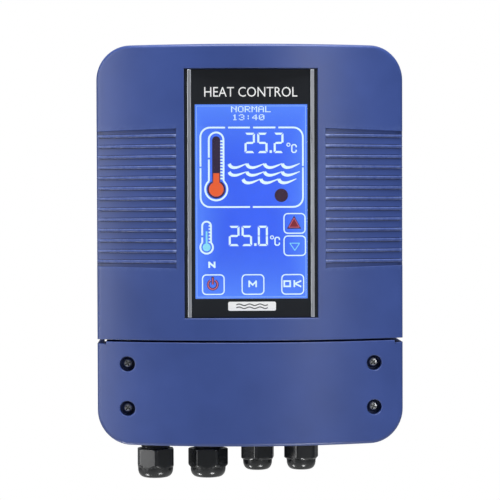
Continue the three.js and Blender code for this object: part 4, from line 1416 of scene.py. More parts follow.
for name, x, z, count, step, length, height in (
    ("large", -22.4, 48.4, 13, 2.27, 2.2, 1.2), ("small", -31.1, 1.9, 6, 2.39, 1.5, 1.15),
):
    tick = drawn("tick", lambda bm: plate(bm, box_outline(0, length, 0, height)), 20)
    ticks = repeat(
        f"ticks_{name}", tick, symbol_white, start=(x, 0, z), columns=count, column_step=(0, 0, step)
    )
    add_piece(f"ticks_{name}", ticks, symbol_white, "front_cover", "lcd_screen")
print("white symbols drawn")

# %% [markdown]
# ### Dot-matrix text
# The two small lines on top are made of square dots, five across and seven down for each character. A
# character is written below as its seven rows, with # for a lit dot.

# %% Mode and clock
DOTS = {
    "N": "#...# ##..# #.#.# #..## #...# #...# #...#", "O": ".###. #...# #...# #...# #...# #...# .###.",
    "R": "####. #...# #...# ####. #.#.. #..#. #...#", "M": "#...# ##.## #.#.# #.#.# #...# #...# #...#",
    "A": ".###. #...# #...# ##### #...# #...# #...#", "L": "#.... #.... #.... #.... #.... #.... #####",
    "1": "..#.. .##.. ..#.. ..#.. ..#.. ..#.. .###.", "3": ".###. #...# ....# ..##. ....# #...# .###.",
    "4": "...#. ..##. .#.#. #..#. ##### ...#. ...#.", "0": ".###. #...# #..## #.#.# ##..# #...# .###.",
    ":": "..... ..#.. ..#.. ..... ..#.. ..#.. .....",
}


def draw_dots(bm, text, x0, x1, z0, z1, filled=0.94):
    """A line of dot-matrix characters in a box. A dot fills most of its place."""
    dot_x, dot_z = (x1 - x0) / (6 * len(text) - 1), (z1 - z0) / 7
    for place, char in enumerate(text):
        for row, line in enumerate(DOTS[char].split()):
            for column in [i for i, mark in enumerate(line) if mark == "#"]:
                x, z = x0 + dot_x * (6 * place + column), z1 - dot_z * (row + 1)
                plate(bm, box_outline(x, x + dot_x * filled, z, z + dot_z * filled))


def draw_lines_of_dots(bm):
    draw_dots(bm, "NORMAL", -14.4, 14.7, 97.4, 101.8)
    draw_dots(bm, "13:40", -13.6, 10.0, 91.6, 95.8)


add_symbol("dot_text", symbol_white, draw_lines_of_dots)

# %% [markdown]
# ### Coloured symbols
# The thermometer's column is orange up to the reading and plum above it. A maroon dot, a red up arrow and a
# power sign, both with rose lines on a maroon ground, and a pale blue down arrow complete the picture. The
# power sign is an open ring with a bar, which is the usual generic mark for on and off.

# %% Coloured symbols
def draw_triangle(bm, apex, base_z, x0, x1, width):
    """A triangle in three strokes."""
    corners = [(x0, base_z), (x1, base_z), apex]
    for a, b in zip(corners, corners[1:] + corners[:1]):
        plate(bm, stroke([a, b], width))


def draw_mercury(bm):
    x, bulb_z = THERMOMETER["x"], THERMOMETER["bulb_z"]
    top = [(-27.6, 52.9), (-23.1, 52.9)]
    plate(bm, arc(x, bulb_z, 5.35, 65, -245, 28) + top, 0.14)


def draw_column(bm):
    x = THERMOMETER["x"]
    plate(bm, [(x + 2.95, 46), (x + 2.95, 76.9)] + arc(x, 76.9, 2.95, 0, 180, 12)[1:] + [(x - 2.95, 46)], 0.1)
    plate(bm, stroke(arc(x, THERMOMETER["bulb_z"], 6.0, 60, -240, 30), 1.2), 0.09)


def power_sign(bm, radius, bar_top, width, thick):
    """An open ring with a bar."""
    x, z = -28.2, -28.6
    plate(bm, stroke(arc(x, z, radius, 60, -240, 24), width), thick)
    plate(bm, stroke([(x, z), (x, bar_top)], width), thick)


def draw_dark_shapes(bm):
    plate(bm, [(26.3, 12.1), (36.7, 12.1), (31.5, 21.7)], 0.08)
    power_sign(bm, 3.4, -22.9, 1.9, 0.08)


def draw_rose_lines(bm):
    draw_triangle(bm, (31.5, 20.0), 13.2, 27.6, 35.4, 0.5)
    power_sign(bm, 3.5, -23.6, 0.8, 0.14)


def draw_cyan(bm):
    draw_triangle(bm, (32.0, -3.8), 1.5, 28.4, 35.5, 0.55)
    x, bulb_z = SMALL["x"], SMALL["bulb_z"]
    plate(bm, circle(x, bulb_z, 2.9, 24), 0.14)
    plate(bm, box_outline(x - 0.65, x + 0.65, bulb_z, 10.4), 0.13)


add_symbol("mercury", symbol_orange, draw_mercury)
add_symbol("thermometer_column", symbol_plum, draw_column)
add_symbol("maroon_dot", symbol_maroon, lambda bm: plate(bm, circle(22.2, 36.6, 4.9, 24), 0.12))
add_symbol("dark_shapes", symbol_maroon, draw_dark_shapes)
add_symbol("up_arrow", symbol_red, lambda bm: plate(bm, [(27.9, 13.5), (35.1, 13.5), (31.5, 19.4)], 0.12))
add_symbol("rose_lines", symbol_rose, draw_rose_lines)
add_symbol("cyan_symbols", symbol_cyan, draw_cyan)

# %% [markdown]
# ### Plain marks on the black panel
# Above the display stands what the unit is for, in plain capitals. Below it is a pale label with two small
# waves.

# %% Panel marks
panel_white = finish("panel_white", "#fafafa", 0.42, rub_and_sheen=0.2, drift=0.03, dust=0.02, bump=0.003)
panel_ink = finish("panel_ink", "#20242a", 0.5, rub_and_sheen=0.2, dust=0.02, bump=0.003)
PANEL_FRONT = box_mm("fascia_panel")[1][1]


def draw_capitals(bm, text, x0, x1, z0, z1, rear, front):
    """A text in Blender's own font that fills a box and faces the front."""
    curve = bpy.data.curves.new("capitals", "FONT")
    curve.body = text
    curve.extrude = 0.05
    curve.resolution_u = 3
    written = bpy.data.objects.new("capitals", curve)
    bpy.context.scene.collection.objects.link(written)
    graph = bpy.context.evaluated_depsgraph_get()
    mesh = bpy.data.meshes.new_from_object(written.evaluated_get(graph))
    bpy.data.objects.remove(written)
    bm.from_mesh(mesh)
    flat = np.array([v.co for v in mesh.vertices])
    low, high = flat.min(0), flat.max(0)
    for vert in bm.verts:
        across, up, out = (np.array(vert.co) - low) / (high - low)
        vert.co = (x0 + (x1 - x0) * across, rear + (front - rear) * out, z0 + (z1 - z0) * up)


capitals = bmesh.new()
draw_capitals(capitals, "HEAT CONTROL", -34, 34, 108.6, 115.8, PANEL_FRONT - 0.05, PANEL_FRONT + 0.07)
purpose_text = to_mesh("purpose_text", capitals, 20, tidy=False)
add_piece("purpose_text", purpose_text, panel_white, "front_cover", "white_plastic")


def draw_label(bm):
    outline = sum(round_box(-17.0, 18.0, -47.8, -41.2, 1.2, 5), [])
    plate(bm, outline, 0.12, PANEL_FRONT - 0.04)


def draw_label_waves(bm):
    for z in (-45.6, -43.4):
        points = [(-11 + 23 * t / 40, z + 0.55 * math.sin(t / 40 * 6 * math.pi)) for t in range(41)]
        plate(bm, stroke(points, 0.7), 0.05, PANEL_FRONT + 0.07)


add_symbol("label", panel_white, draw_label, "white_plastic")
add_symbol("label_waves", panel_ink, draw_label_waves, "white_plastic")

# %% [markdown]
# ## Screws
# Each screw has a pan head with a cross recess and a rolled thread. The body is a stack of rings along its
# own axis. Where there is thread, the radius of each vertex goes up and down with both its place along the
# axis and its angle, which is what makes the ridge run round as a helix. The recess is cut by a Boolean
# with a tapered cross.


# %% Turned shapes with a thread
def turned_rings(bm, profile, segments, to_place, thread=None, outline=None):
    """Rings from (radius, w) pairs along a local axis, bridged in a row.

    `to_place(u, v, w)` puts a local point in the case. `thread` is (w0, w1, pitch, height, steps a turn) for
    a helix on the profile's stretch between w0 and w1. `outline(angle)` limits the radius, as a hexagon does.
    """
    stack = []
    for (r0, w0), (r1, w1) in zip(profile, profile[1:]):
        stack.append((r0, w0))
        if thread and w0 == thread[0]:
            count = int(abs(w1 - w0) / thread[2] * thread[4])
            stack += [(r0 + (r1 - r0) * i / count, w0 + (w1 - w0) * i / count) for i in range(1, count)]
    stack.append(profile[-1])
    rings = []
    for radius, w in stack:
        row = []
        for angle in full_turn(segments):
            reach = min(radius, outline(angle)) if outline else radius
            if thread and min(thread[0], thread[1]) <= w <= max(thread[0], thread[1]):
                phase = (w / thread[2] - angle / (2 * math.pi)) % 1.0
                fade = min(1.0, abs(w - thread[0]) / thread[2], abs(w - thread[1]) / thread[2])
                reach -= thread[3] * fade * (1 - abs(2 * phase - 1)) ** 0.8
            row.append(bm.verts.new(to_place(reach * math.cos(angle), reach * math.sin(angle), w)))
        rings.append(row)
    for a, b in zip(rings, rings[1:]):
        bridge(bm, a, b)
    return rings


def boolean(name, base, tool, operation):
    """The mesh of base cut by, or joined with, tool. Both are meshes in metres."""
    holders = [bpy.data.objects.new(name + part, mesh) for part, mesh in (("_base", base), ("_tool", tool))]
    for holder in holders:
        bpy.context.scene.collection.objects.link(holder)
    modifier = holders[0].modifiers.new("boolean", "BOOLEAN")
    modifier.operation, modifier.object = operation, holders[1]
    modifier.solver = "EXACT"
    modifier.use_self = True
    graph = bpy.context.evaluated_depsgraph_get()
    mesh = bpy.data.meshes.new_from_object(holders[0].evaluated_get(graph))
    for holder in holders:
        bpy.data.objects.remove(holder)
    return mesh


def shade_again(name, mesh, sharp_degrees=38):
    """Marks sharp edges and stores the bends once more after a Boolean."""
    bm = bmesh.new()
    bm.from_mesh(mesh)
    bpy.data.meshes.remove(mesh)
    bm.transform(Matrix.Diagonal((1 / MM, -1 / MM, 1 / MM, 1)))
    return to_mesh(name, bm, sharp_degrees)


# %% [markdown]
# ### Building a screw
# The thread's pitch and depth are those of a thread-forming screw for plastic. Heads of the terminal
# cover's screws sit deep in their counterbores.

# %% Screw meshes
SCREW_PITCH = 0.9


def make_screw(node, facing, head, head_height, shank, length, segments=24):
    """A pan-head screw where its CAD node is. `facing` is 1 when the head looks to the front."""
    x, _, z = middle_mm(node)
    depths = box_mm(node)[1]
    seat = depths[1] - head_height if facing > 0 else depths[0] + head_height

    def to_place(u, v, w):
        return (x + u, seat + facing * w, z + v)

    crest, dome = shank, head_height
    thread_start, thread_end = -length + shank + 0.3, -max(0.2 * length, 1.0)
    profile = [
        (0.15, -length), (crest * 0.8, -length + shank), (crest, thread_start), (crest, thread_end),
        (crest, -0.3), (crest + 0.3, 0), (head - 0.2, 0), (head, 0.2), (head, dome * 0.42),
        (head * 0.94, dome * 0.68), (head * 0.8, dome * 0.87), (head * 0.62, dome * 0.97), (head * 0.4, dome),
        (0.2, dome),
    ]
    bm = bmesh.new()
    rings = turned_rings(
        bm, profile, segments, to_place, thread=(thread_start, thread_end, SCREW_PITCH, shank * 0.18, 5)
    )
    bm.faces.new(rings[0])
    bm.faces.new(rings[-1])
    body = to_mesh(node, bm)

    arm, slot = head * 0.56, head * 0.12
    quarter = [(arm, slot), (slot, slot), (slot, arm)]
    quarter_turns = ((1, 0), (0, 1), (-1, 0), (0, -1))
    cross = [(a * u - b * v, b * u + a * v) for a, b in quarter_turns for u, v in quarter]
    # each screw was driven home to another angle
    turn = math.radians((x * 7 + z * 13) % 90)
    a, b = math.cos(turn), math.sin(turn)
    turned = [(a * u - b * v, b * u + a * v) for u, v in cross]
    steps = ((1.0, dome + 0.5), (1.0, dome), (0.45, dome * 0.3))
    recess = drawn("cross", lambda bm: loft(
        bm, [[to_place(scale * u, scale * v, w) for u, v in turned] for scale, w in steps]
    ))
    return shade_again(node, boolean(node, body, recess, "DIFFERENCE"))


# (CAD name, body, facing, head radius, head height, shank radius, length)
SCREWS = [
    ("terminal_cover_screw", "wiring_cover_screw", 1, 3.9, 3.0, 2.0, 38),
    ("main_cover_screw", "rear_screw", -1, 3.9, 3.0, 2.0, 28),
    ("power_board_screw", "tray", 1, 2.8, 2.0, 1.25, 8),
    ("display_board_screw", "front_cover", -1, 2.6, 1.8, 1.2, 5),
]
for kind, body, facing, head, head_height, shank, length in SCREWS:
    for n in range(1, 5):
        rides = f"{body}_{n}" if body.endswith("screw") else body
        mesh = make_screw(f"{kind}_{n}", facing, head, head_height, shank, length)
        piece = add_piece(f"{kind}_{n}_piece", mesh, zinc_steel, rides, "zinc_steel", f"{kind}_{n}")
print("a screw has", len(piece.data.polygons), "faces")

# %% [markdown]
# ## Cable glands
# A gland is a body screwed through the tray's bottom wall and held by a locknut, a rubber clamping ring,
# and a dome nut that squeezes the ring onto the cable. The nut is round and hexagonal at once: its radius
# is the smaller of a turned profile and a hexagon, and where the two meet the curved chamfer scallops
# appear, as on a real nut.

# %% Sizes of the glands
# flats is a width, the next seven are radii, and the last four are places down from the tray's bottom wall
LARGE_GLAND = {
    "flats": 27, "entry": 10, "collar": 11.1, "dome": 13.4, "bore": 7.2, "ring_out": 6.9, "ring_in": 4.7,
    "mouth": 6.4, "flange": 9, "top": 16.2, "shoulder": 30.3, "end": 38.2,
}
SMALL_GLAND = {
    "flats": 24, "entry": 8, "collar": 9.3, "dome": 11.1, "bore": 5.4, "ring_out": 5.1, "ring_in": 3.5,
    "mouth": 4.8, "flange": 6, "top": 9.8, "shoulder": 24.8, "end": 32.8,
}
GLAND_TURNS = (26, 5, -22, -14)
GLAND_PITCH = 1.5


def gland_size(n):
    return LARGE_GLAND if n < 3 else SMALL_GLAND


def hexagon(flats, turn, soft=0.35):
    """The radius of a hexagon at an angle, its corners slightly rounded. A corner is at `turn` degrees."""
    def reach(angle):
        across = math.cos(((angle - math.radians(turn) + math.pi / 3) % (math.pi / 3)) - math.pi / 6)
        return min(flats / 2 / across, flats / 2 / math.cos(math.pi / 6) - soft)
    return reach


def gland_place(n):
    """How a gland's local (u, v, w), with w down from the tray's bottom wall, stands in the case."""
    x, depth, _ = middle_mm(f"gland_nut_{n}")
    foot = box_mm("base_shell")[2][0]
    return lambda u, v, w: (x + u, depth + v, foot - w)


def closed_turn(name, profile, to_place, segments, **options):
    """A turned ring: its profile comes back to where it starts."""
    bm = bmesh.new()
    turned_rings(bm, profile + profile[:1], segments, to_place, **options)
    return to_mesh(name, bm)


# %% Nuts, rings, bodies and locknuts
def corner_radius(flats):
    """From the middle of a hexagon to its corners."""
    return flats / 2 / math.cos(math.pi / 6)


def make_nut(n, g):
    corner, collar, dome, top, shoulder, end = (
        corner_radius(g["flats"]), g["collar"], g["dome"], g["top"], g["shoulder"], g["end"]
    )
    profile = [
        (collar + 0.9, top), (corner - 1.3, top), (corner - 0.5, top + 0.35), (corner, top + 1.0),
        (corner, shoulder - 2.2), (corner - 0.6, shoulder - 1.2), (dome + 0.6, shoulder - 0.15),
        (dome + 0.1, shoulder + 0.1), (dome, shoulder + (end - shoulder) * 0.2),
    ]
    inner = g["mouth"] + 0.9
    for i in range(1, 11):
        angle = i / 10 * math.pi / 2
        profile.append((
            inner + (dome - inner) * math.cos(angle) ** 0.8,
            shoulder + (end - shoulder) * (0.2 + 0.8 * math.sin(angle)),
        ))
    profile += [
        (g["mouth"] + 0.25, end - 0.15), (g["mouth"], end - 0.6), (g["mouth"], end - 4.2),
        (g["ring_out"] + 0.3, end - 4.2), (collar + 0.3, shoulder - 3.4), (collar + 0.3, top + 0.6),
    ]
    nut_hexagon = hexagon(g["flats"], GLAND_TURNS[n - 1])
    return closed_turn(f"gland_nut_{n}", profile, gland_place(n), 120, outline=nut_hexagon)


def make_ring(n, g):
    outside, top, foot = g["ring_out"], g["top"] + 2.4, g["end"] - 4.5
    steps = [foot + (top - foot) * i / 8 for i in range(9)]
    ribbed = [(g["ring_in"] + 0.25 * (i % 2), w) for i, w in enumerate(steps)]
    profile = [(outside - 0.6, foot), (outside, foot - 1), (outside, top)] + ribbed[::-1]
    return closed_turn(f"gland_seal_{n}", profile, gland_place(n), 48)


def make_body(n, g):
    bore, collar, flange, entry, flat = g["bore"], g["collar"], g["flange"], g["entry"], g["flats"] / 2
    thread_end = g["shoulder"] - 7
    profile = [
        (bore, thread_end + 3.4), (bore + 1.0, thread_end + 3.4), (bore + 1.4, thread_end + 2.9),
        (bore + 1.4, thread_end), (collar - 0.6, thread_end), (collar, thread_end - 0.6),
        (collar, flange + 1.2), (collar - 0.7, flange + 0.6), (collar - 0.7, flange), (flat + 0.9, flange),
        (flat + 1.9, flange - 0.8), (flat + 1.9, 1.0), (flat + 1.0, 0.3), (entry - 0.5, 0.3),
        (entry - 0.5, -0.8), (entry, -1.4), (entry, -9.0), (entry - 0.5, -9.5), (bore, -9.5),
    ]
    thread = (thread_end - 0.6, flange + 1.2, GLAND_PITCH, 0.6, 8)
    return closed_turn(
        f"gland_body_{n}", profile, gland_place(n), 72, thread=thread, outline=hexagon(g["flats"], 12)
    )


def make_locknut(n, g):
    seat, corner, inside = -3.3, corner_radius(g["flats"]), g["entry"] + 0.3
    profile = [
        (inside, seat), (corner - 1.2, seat), (corner, seat - 0.7), (corner, seat - 3.9),
        (corner - 1.2, seat - 4.6), (inside, seat - 4.6),
    ]
    return closed_turn(f"gland_locknut_{n}", profile, gland_place(n), 72, outline=hexagon(g["flats"], 20))


for n in range(1, 5):
    size = gland_size(n)
    for kind, mesh, material, body, slot in (
        ("nut", make_nut(n, size), gland_nylon, f"dome_nut_{n}", "gland_nylon"),
        ("seal", make_ring(n, size), seal_rubber, f"clamp_ring_{n}", "rubber"),
        ("body", make_body(n, size), gland_nylon, "tray", "gland_nylon"),
        ("locknut", make_locknut(n, size), gland_nylon, "tray", "gland_nylon"),
    ):
        add_piece(f"gland_{kind}_{n}_piece", mesh, material, body, slot, f"gland_{kind}_{n}")
print("glands: 4, each of 4 pieces")

# %% [markdown]
# ## Rear tray
# The tray is one moulding. Its outline, walls and rim come from a loft: rings of the rounded outline at
# different insets and depths, joined in a row. Everything else is added and cut with exact Booleans: the
# bar behind the split line, the bosses for screws, the keyhole pocket for hanging it on the wall, and the
# holes in the bottom wall.


# %% Loft, additions and cuts
def case_outline(inset, per_corner=12):
    """Points (x, z) of the rounded case outline, drawn in by some millimetres."""
    x, z, r = HALF_WIDTH - inset, COVER_TOP - inset, CORNER - inset
    return sum(round_box(-x, x, -z, z, r, per_corner), [])


_, (_, TRAY_DEPTH), (TRAY_LOW, _) = box_mm("base_shell")
TRAY_INSET = COVER_TOP + TRAY_LOW
TRAY_WALL = 3
KEYHOLE = {"z": 112, "head": 4.8, "slot": 2.4, "rise": 9, "depth": 8}
BAR = {"half": 6, "rear": 42}
WALL_HOLE = {"x": 62, "z": -122, "radius": 2.6}
# the height of each kind of boss, its radius, and the height and half the thickness of the web that braces
# it
COVER_BOSS = {"top": LANDING - 0.6, "radius": 5, "web": (30, 0.8)}
REAR_BOSS = {"top": 14, "radius": 7, "web": (12, 0.9)}
BOARD_BOSS = {"top": 10, "radius": 3.5}
cover_screws, rear_screws, board_screws = (
    [middle_mm(f"{kind}_screw_{n}") for n in range(1, 5)]
    for kind in ("terminal_cover", "main_cover", "power_board")
)


def draw_walls(bm):
    i, d, wall = TRAY_INSET, TRAY_DEPTH, TRAY_WALL
    chain = [(i + inward, lower) for inward, lower in reversed(round_steps(1.4, 5))]
    chain += [
        (i, d - 0.4), (i + 0.4, d), (i + wall - 0.4, d), (i + wall, d - 0.4),
        (i + wall, wall + 0.8), (i + wall + 0.3, wall + 0.2), (i + wall + 0.9, wall),
    ]
    loft(bm, [[(x, depth, z) for x, z in case_outline(inset)] for inset, depth in chain])


def draw_additions(bm):
    sunk = 1
    inside = HALF_WIDTH - TRAY_INSET - sunk
    middle = (SPLIT_TOP + SPLIT_BOTTOM) / 2
    bar = box_outline(-inside, inside, middle - BAR["half"], middle + BAR["half"])
    prism(bm, bar, BAR["rear"], TRAY_DEPTH)
    for boss, screws in ((COVER_BOSS, cover_screws), (REAR_BOSS, rear_screws)):
        web_top, half = boss["web"]
        for x, _, z in screws:
            prism(bm, circle(x, z, boss["radius"]), sunk, boss["top"])
            prism(bm, box_outline(*sorted((x, math.copysign(inside, x))), z - half, z + half), sunk, web_top)
    for x, _, z in board_screws:
        prism(bm, circle(x, z, BOARD_BOSS["radius"], 24), sunk, BOARD_BOSS["top"])
    half, low, high = KEYHOLE["head"], KEYHOLE["z"], KEYHOLE["z"] + KEYHOLE["rise"]
    pocket = box_outline(-half - 2, half + 2, low - half - 2, high + half + 2)
    prism(bm, pocket, sunk, KEYHOLE["depth"] + 2)


def draw_cuts(bm):
    for x, _, z in cover_screws:
        prism(bm, circle(x, z, 2.2, 24), 37, 60)
    for x, _, z in rear_screws:
        prism(bm, circle(x, z, 4.5), -1, 6.5)
        prism(bm, circle(x, z, 2.3, 24), 5, 20)
    for x, _, z in board_screws:
        prism(bm, circle(x, z, 1.5, 20), 3.6, 12)
    for side in (-1, 1):
        prism(bm, circle(side * WALL_HOLE["x"], WALL_HOLE["z"], WALL_HOLE["radius"], 28), -1, 5)
    half, slot, low, high = KEYHOLE["head"], KEYHOLE["slot"], KEYHOLE["z"], KEYHOLE["z"] + KEYHOLE["rise"]
    prism(bm, circle(0, low, half), -1, KEYHOLE["depth"])
    prism(bm, arc(0, high, slot, 0, 180, 14) + [(-slot, low), (slot, low)], -1, KEYHOLE["depth"] - 0.1)
    behind = box_outline(0.1 - half, half - 0.1, low + 0.1, high + half - 0.6)
    prism(bm, behind, TRAY_WALL, KEYHOLE["depth"] - 0.2)
    for n in range(1, 5):
        x, depth, _ = middle_mm(f"gland_body_{n}")
        radius = gland_size(n)["entry"] + 0.4
        around = [(x + radius * math.cos(t), depth + radius * math.sin(t)) for t in full_turn(40)]
        loft(bm, [[(*point, z) for point in around] for z in (TRAY_LOW - 4, TRAY_LOW + 5)])


tray_mesh = boolean("tray", drawn("tray", draw_walls), drawn("additions", draw_additions), "UNION")
tray_mesh = boolean("tray", tray_mesh, drawn("cuts", draw_cuts), "DIFFERENCE")
tray_mesh = shade_again("base_shell", tray_mesh, 30)
tray = add_piece("base_shell_piece", tray_mesh, case_blue, "tray", "case_blue", "base_shell")
print("tray:", len(tray.data.polygons), "faces")
for name, body in (("main_cover_seal", "front_cover"), ("terminal_cover_seal", "wiring_cover")):
    keep_shape(name, seal_rubber, body, "rubber", corner_degrees=50)

# %% [markdown]
# ## Boards and what stands on them
# Behind the covers are a display board and a power board. Their pieces keep their CAD shapes with rounded
# edges and get the details that a maker would look for: pins, clamp screws, windings, solder joints and
# small chips. Those details come in rows, so the repeating node tree does them.

# %% Plain rounded pieces
INSIDE = [
    ("power_board", board_lacquer, "tray", "circuit_board", 0.12),
    ("display_board", board_lacquer, "front_cover", "circuit_board", 0.12),
    ("backlight_unit", white_plastic, "front_cover", "white_plastic", 0.4),
    ("relay_1", relay_plastic, "tray", "relay_plastic", 0.6),
    ("relay_2", relay_plastic, "tray", "relay_plastic", 0.6),
    ("mains_terminals", black_plastic, "tray", "component_black", 0.3),
    ("signal_terminals", green_plastic, "tray", "terminal_green", 0.25),
    ("fuse_holder", black_plastic, "tray", "component_black", 0.3),
    ("ribbon_header", black_plastic, "tray", "component_black", 0.3),
    ("ribbon_plug", black_plastic, "front_cover", "component_black", 0.4),
    ("microcontroller", black_plastic, "front_cover", "component_black", 0.2),
]
for node, material, body, slot, width in INSIDE:
    keep_shape(node, material, body, slot, width)
print("rounded pieces inside:", len(INSIDE))


# %% Small patterns
def block(bm, x0, x1, depth0, depth1, z0, z1, chamfer=0.1):
    """A box with chamfered edges."""
    cube = bmesh.ops.create_cube(bm, size=1.0)["verts"]
    for v in cube:
        v.co = ((x0 + x1) / 2 + v.co.x * (x1 - x0), (depth0 + depth1) / 2 + v.co.y * (depth1 - depth0),
                (z0 + z1) / 2 + v.co.z * (z1 - z0))
    edges = list({e for v in cube for e in v.link_edges})
    bmesh.ops.bevel(bm, geom=edges, offset=chamfer, segments=1, affect="EDGES")


def clamp_screw(radius, height):
    """A slotted screw head: two half discs with the slot between them, on a lower disc."""
    def draw(bm):
        front_lathe(bm, 0, 0, [(radius, 0), (radius, height * 0.6), (radius * 0.98, height * 0.62)], 20)
        for start in (8, 188):
            prism(bm, arc(0, 0, radius * 0.96, start, start + 164, 14), height * 0.5, height)
    return draw


def add_rows(name, draw, material, body, slot, **rows):
    """A piece made of a small pattern in rows."""
    mesh = repeat(name, drawn(name + "_one", draw, 35), material, **rows)
    return add_piece(name, mesh, material, body, slot)


def add_drawn(name, draw, material, body, slot, *replaced):
    """A piece that `draw` builds in an empty bmesh."""
    return add_piece(name, drawn(name, draw), material, body, slot, *replaced)


# %% [markdown]
# ### Terminal blocks, header and relays
# The clamp screws stand in the blocks' round wells. The wire mouths get brass cage clamps.

# %% Rows of terminals and pins
BOARD_FRONT = box_mm("mains_terminals")[1][0]
for node, ways, pitch, height, length, radius in (
    ("mains_terminals", 5, 10.0, 19.0, 17.0, 2.7), ("signal_terminals", 10, 5.08, 13.0, 12.0, 1.35),
):
    (x0, x1), (rear, _), (z0, z1) = box_mm(node)
    first, middle_z = (x0 + x1) / 2 - (ways - 1) / 2 * pitch, (z0 + z1) / 2
    mouth = min(3.4, pitch * 0.62)
    add_rows(
        f"{node}_screws", clamp_screw(radius, 2.4), zinc_steel, "tray", "zinc_steel",
        start=(first, rear + height - 5, middle_z - 1), columns=ways, column_step=(pitch, 0, 0),
    )
    add_rows(
        f"{node}_cages",
        lambda bm, m=mouth: block(bm, -m / 2 + 0.25, m / 2 - 0.25, 2.7, 2.4 + m, 2.2, 5.2, 0.15),
        brass_metal, "tray", "zinc_steel", start=(first, rear, middle_z - length / 2), columns=ways,
        column_step=(pitch, 0, 0),
    )


PIN_PITCH, PIN_COUNT = 2.54, 13
header_x, _, header_z = middle_mm("ribbon_header")
pins_x, pins_z = header_x - (PIN_COUNT - 1) / 2 * PIN_PITCH, header_z - PIN_PITCH / 2
add_rows(
    "header_pins", lambda bm: block(bm, -0.3, 0.3, 0, 6.2, -0.3, 0.3, 0.12), brass_metal, "tray",
    "zinc_steel", start=(pins_x, BOARD_FRONT + 1.4, pins_z), columns=PIN_COUNT, column_step=(PIN_PITCH, 0, 0),
    rows=2, row_step=(0, 0, PIN_PITCH),
)


def solder_joint(bm):
    front_lathe(bm, 0, 0, [(0.95, 0), (0.75, -0.25), (0.4, -0.6), (0.28, -0.95), (0.1, -1.0)], 12)


board_rear, board_top = box_mm("power_board")[1]
for name, x, z, columns, step, rows, row_step in (
    ("mains_joints", -70, -97, 5, 10.0, 2, 5.0), ("signal_joints", -8.9, -100, 10, 5.08, 1, 0.0),
    ("header_joints", pins_x, pins_z, PIN_COUNT, PIN_PITCH, 2, PIN_PITCH),
    ("relay_joints", 2, -4, 6, 6.0, 3, 9.0),
):
    add_rows(
        name, solder_joint, tinned_metal, "tray", "zinc_steel", start=(x, board_rear + 0.02, z),
        columns=columns, column_step=(step, 0, 0), rows=rows, row_step=(0, 0, row_step),
    )


def chip_resistor(bm):
    block(bm, -0.7, 0.7, 0, 0.5, -0.6, 0.6, 0.06)


def chip_ends(bm):
    for side in (-1, 1):
        block(bm, side * 0.9 - 0.25, side * 0.9 + 0.25, -0.02, 0.52, -0.62, 0.62, 0.06)


display_rear = box_mm("display_board")[1][0]
for name, body, depth, x, z, columns, rows in (
    ("power_chips", "tray", board_top, -20, -60, 7, 3),
    ("power_chips_upper", "tray", board_top, 48, 26, 5, 2),
    ("display_chips", "front_cover", display_rear - 0.5, -34, 52, 8, 4),
    ("display_chips_low", "front_cover", display_rear - 0.5, 2, -22, 6, 3),
):
    for part, draw, material, slot in (
        ("", chip_resistor, black_plastic, "component_black"),
        ("_ends", chip_ends, tinned_metal, "zinc_steel"),
    ):
        add_rows(
            name + part, draw, material, body, slot, start=(x, depth, z),
            columns=columns, column_step=(4.4, 0, 0), rows=rows, row_step=(0, 0, 3.4),
        )


def chip_leg(dx, dz):
    """A gull-wing leg of a chip: a bent strip that leaves the chip along x or z."""
    path = [(0.0, -0.75), (0.45, -0.7), (0.65, -0.1), (1.25, -0.02)]
    section = [(-0.14, 0), (0.14, 0), (0.14, -0.12), (-0.14, -0.12)]
    loops = [
        [(along * dx + across * dz, depth + lift, along * dz + across * dx) for across, lift in section]
        for along, depth in path
    ]
    return lambda bm: loft(bm, loops)


chip_x, _, chip_z = middle_mm("microcontroller")
for name, dx, dz in (("left", -1, 0), ("right", 1, 0), ("down", 0, -1), ("up", 0, 1)):
    add_rows(
        f"chip_legs_{name}", chip_leg(dx, dz), tinned_metal, "front_cover", "zinc_steel",
        start=(chip_x + 7 * dx - 5.6 * abs(dz), display_rear, chip_z + 7 * dz - 5.6 * abs(dx)),
        columns=15, column_step=(0.8 * abs(dz), 0, 0.8 * abs(dx)),
    )
print("rows of small details added")

# %% [markdown]
# ### Transformer, capacitor, fuse, cell and buzzer
# The transformer's core is a stack of thin sheets, so its outline gets fine steps, and its coil is a stack
# of turns. The capacitor has a crimp groove and a bare metal top. All are turned or stacked from the sizes
# of their CAD boxes.

# %% Transformer
tx, _, tz = middle_mm("transformer")
t_rear = box_mm("transformer")[1][0]


def draw_core(bm):
    """Sixteen frame-shaped sheets, each of four blocks."""
    blocks = [
        (-23.9, 23.9, 3.2, 10), (-23.9, 23.9, 26, 32.9), (-23.9, -16.6, 9.5, 26.5), (16.6, 23.9, 9.5, 26.5),
    ]
    for i in range(16):
        low = tz - 7.9 + i * 0.99
        for x0, x1, d0, d1 in blocks:
            block(bm, tx + x0, tx + x1, t_rear + d0, t_rear + d1, low, low + 0.9, 0.08)


def draw_bobbin(bm):
    for z in (-19.8, -8.6, 8.0, 19.2):
        block(bm, tx - 15.4, tx + 15.4, t_rear + 2.2, t_rear + 31, tz + z - 0.05, tz + z + 0.6, 0.15)
    block(bm, tx - 23.8, tx + 23.8, t_rear + 0.05, t_rear + 3.1, tz - 16.9, tz + 16.9, 0.5)


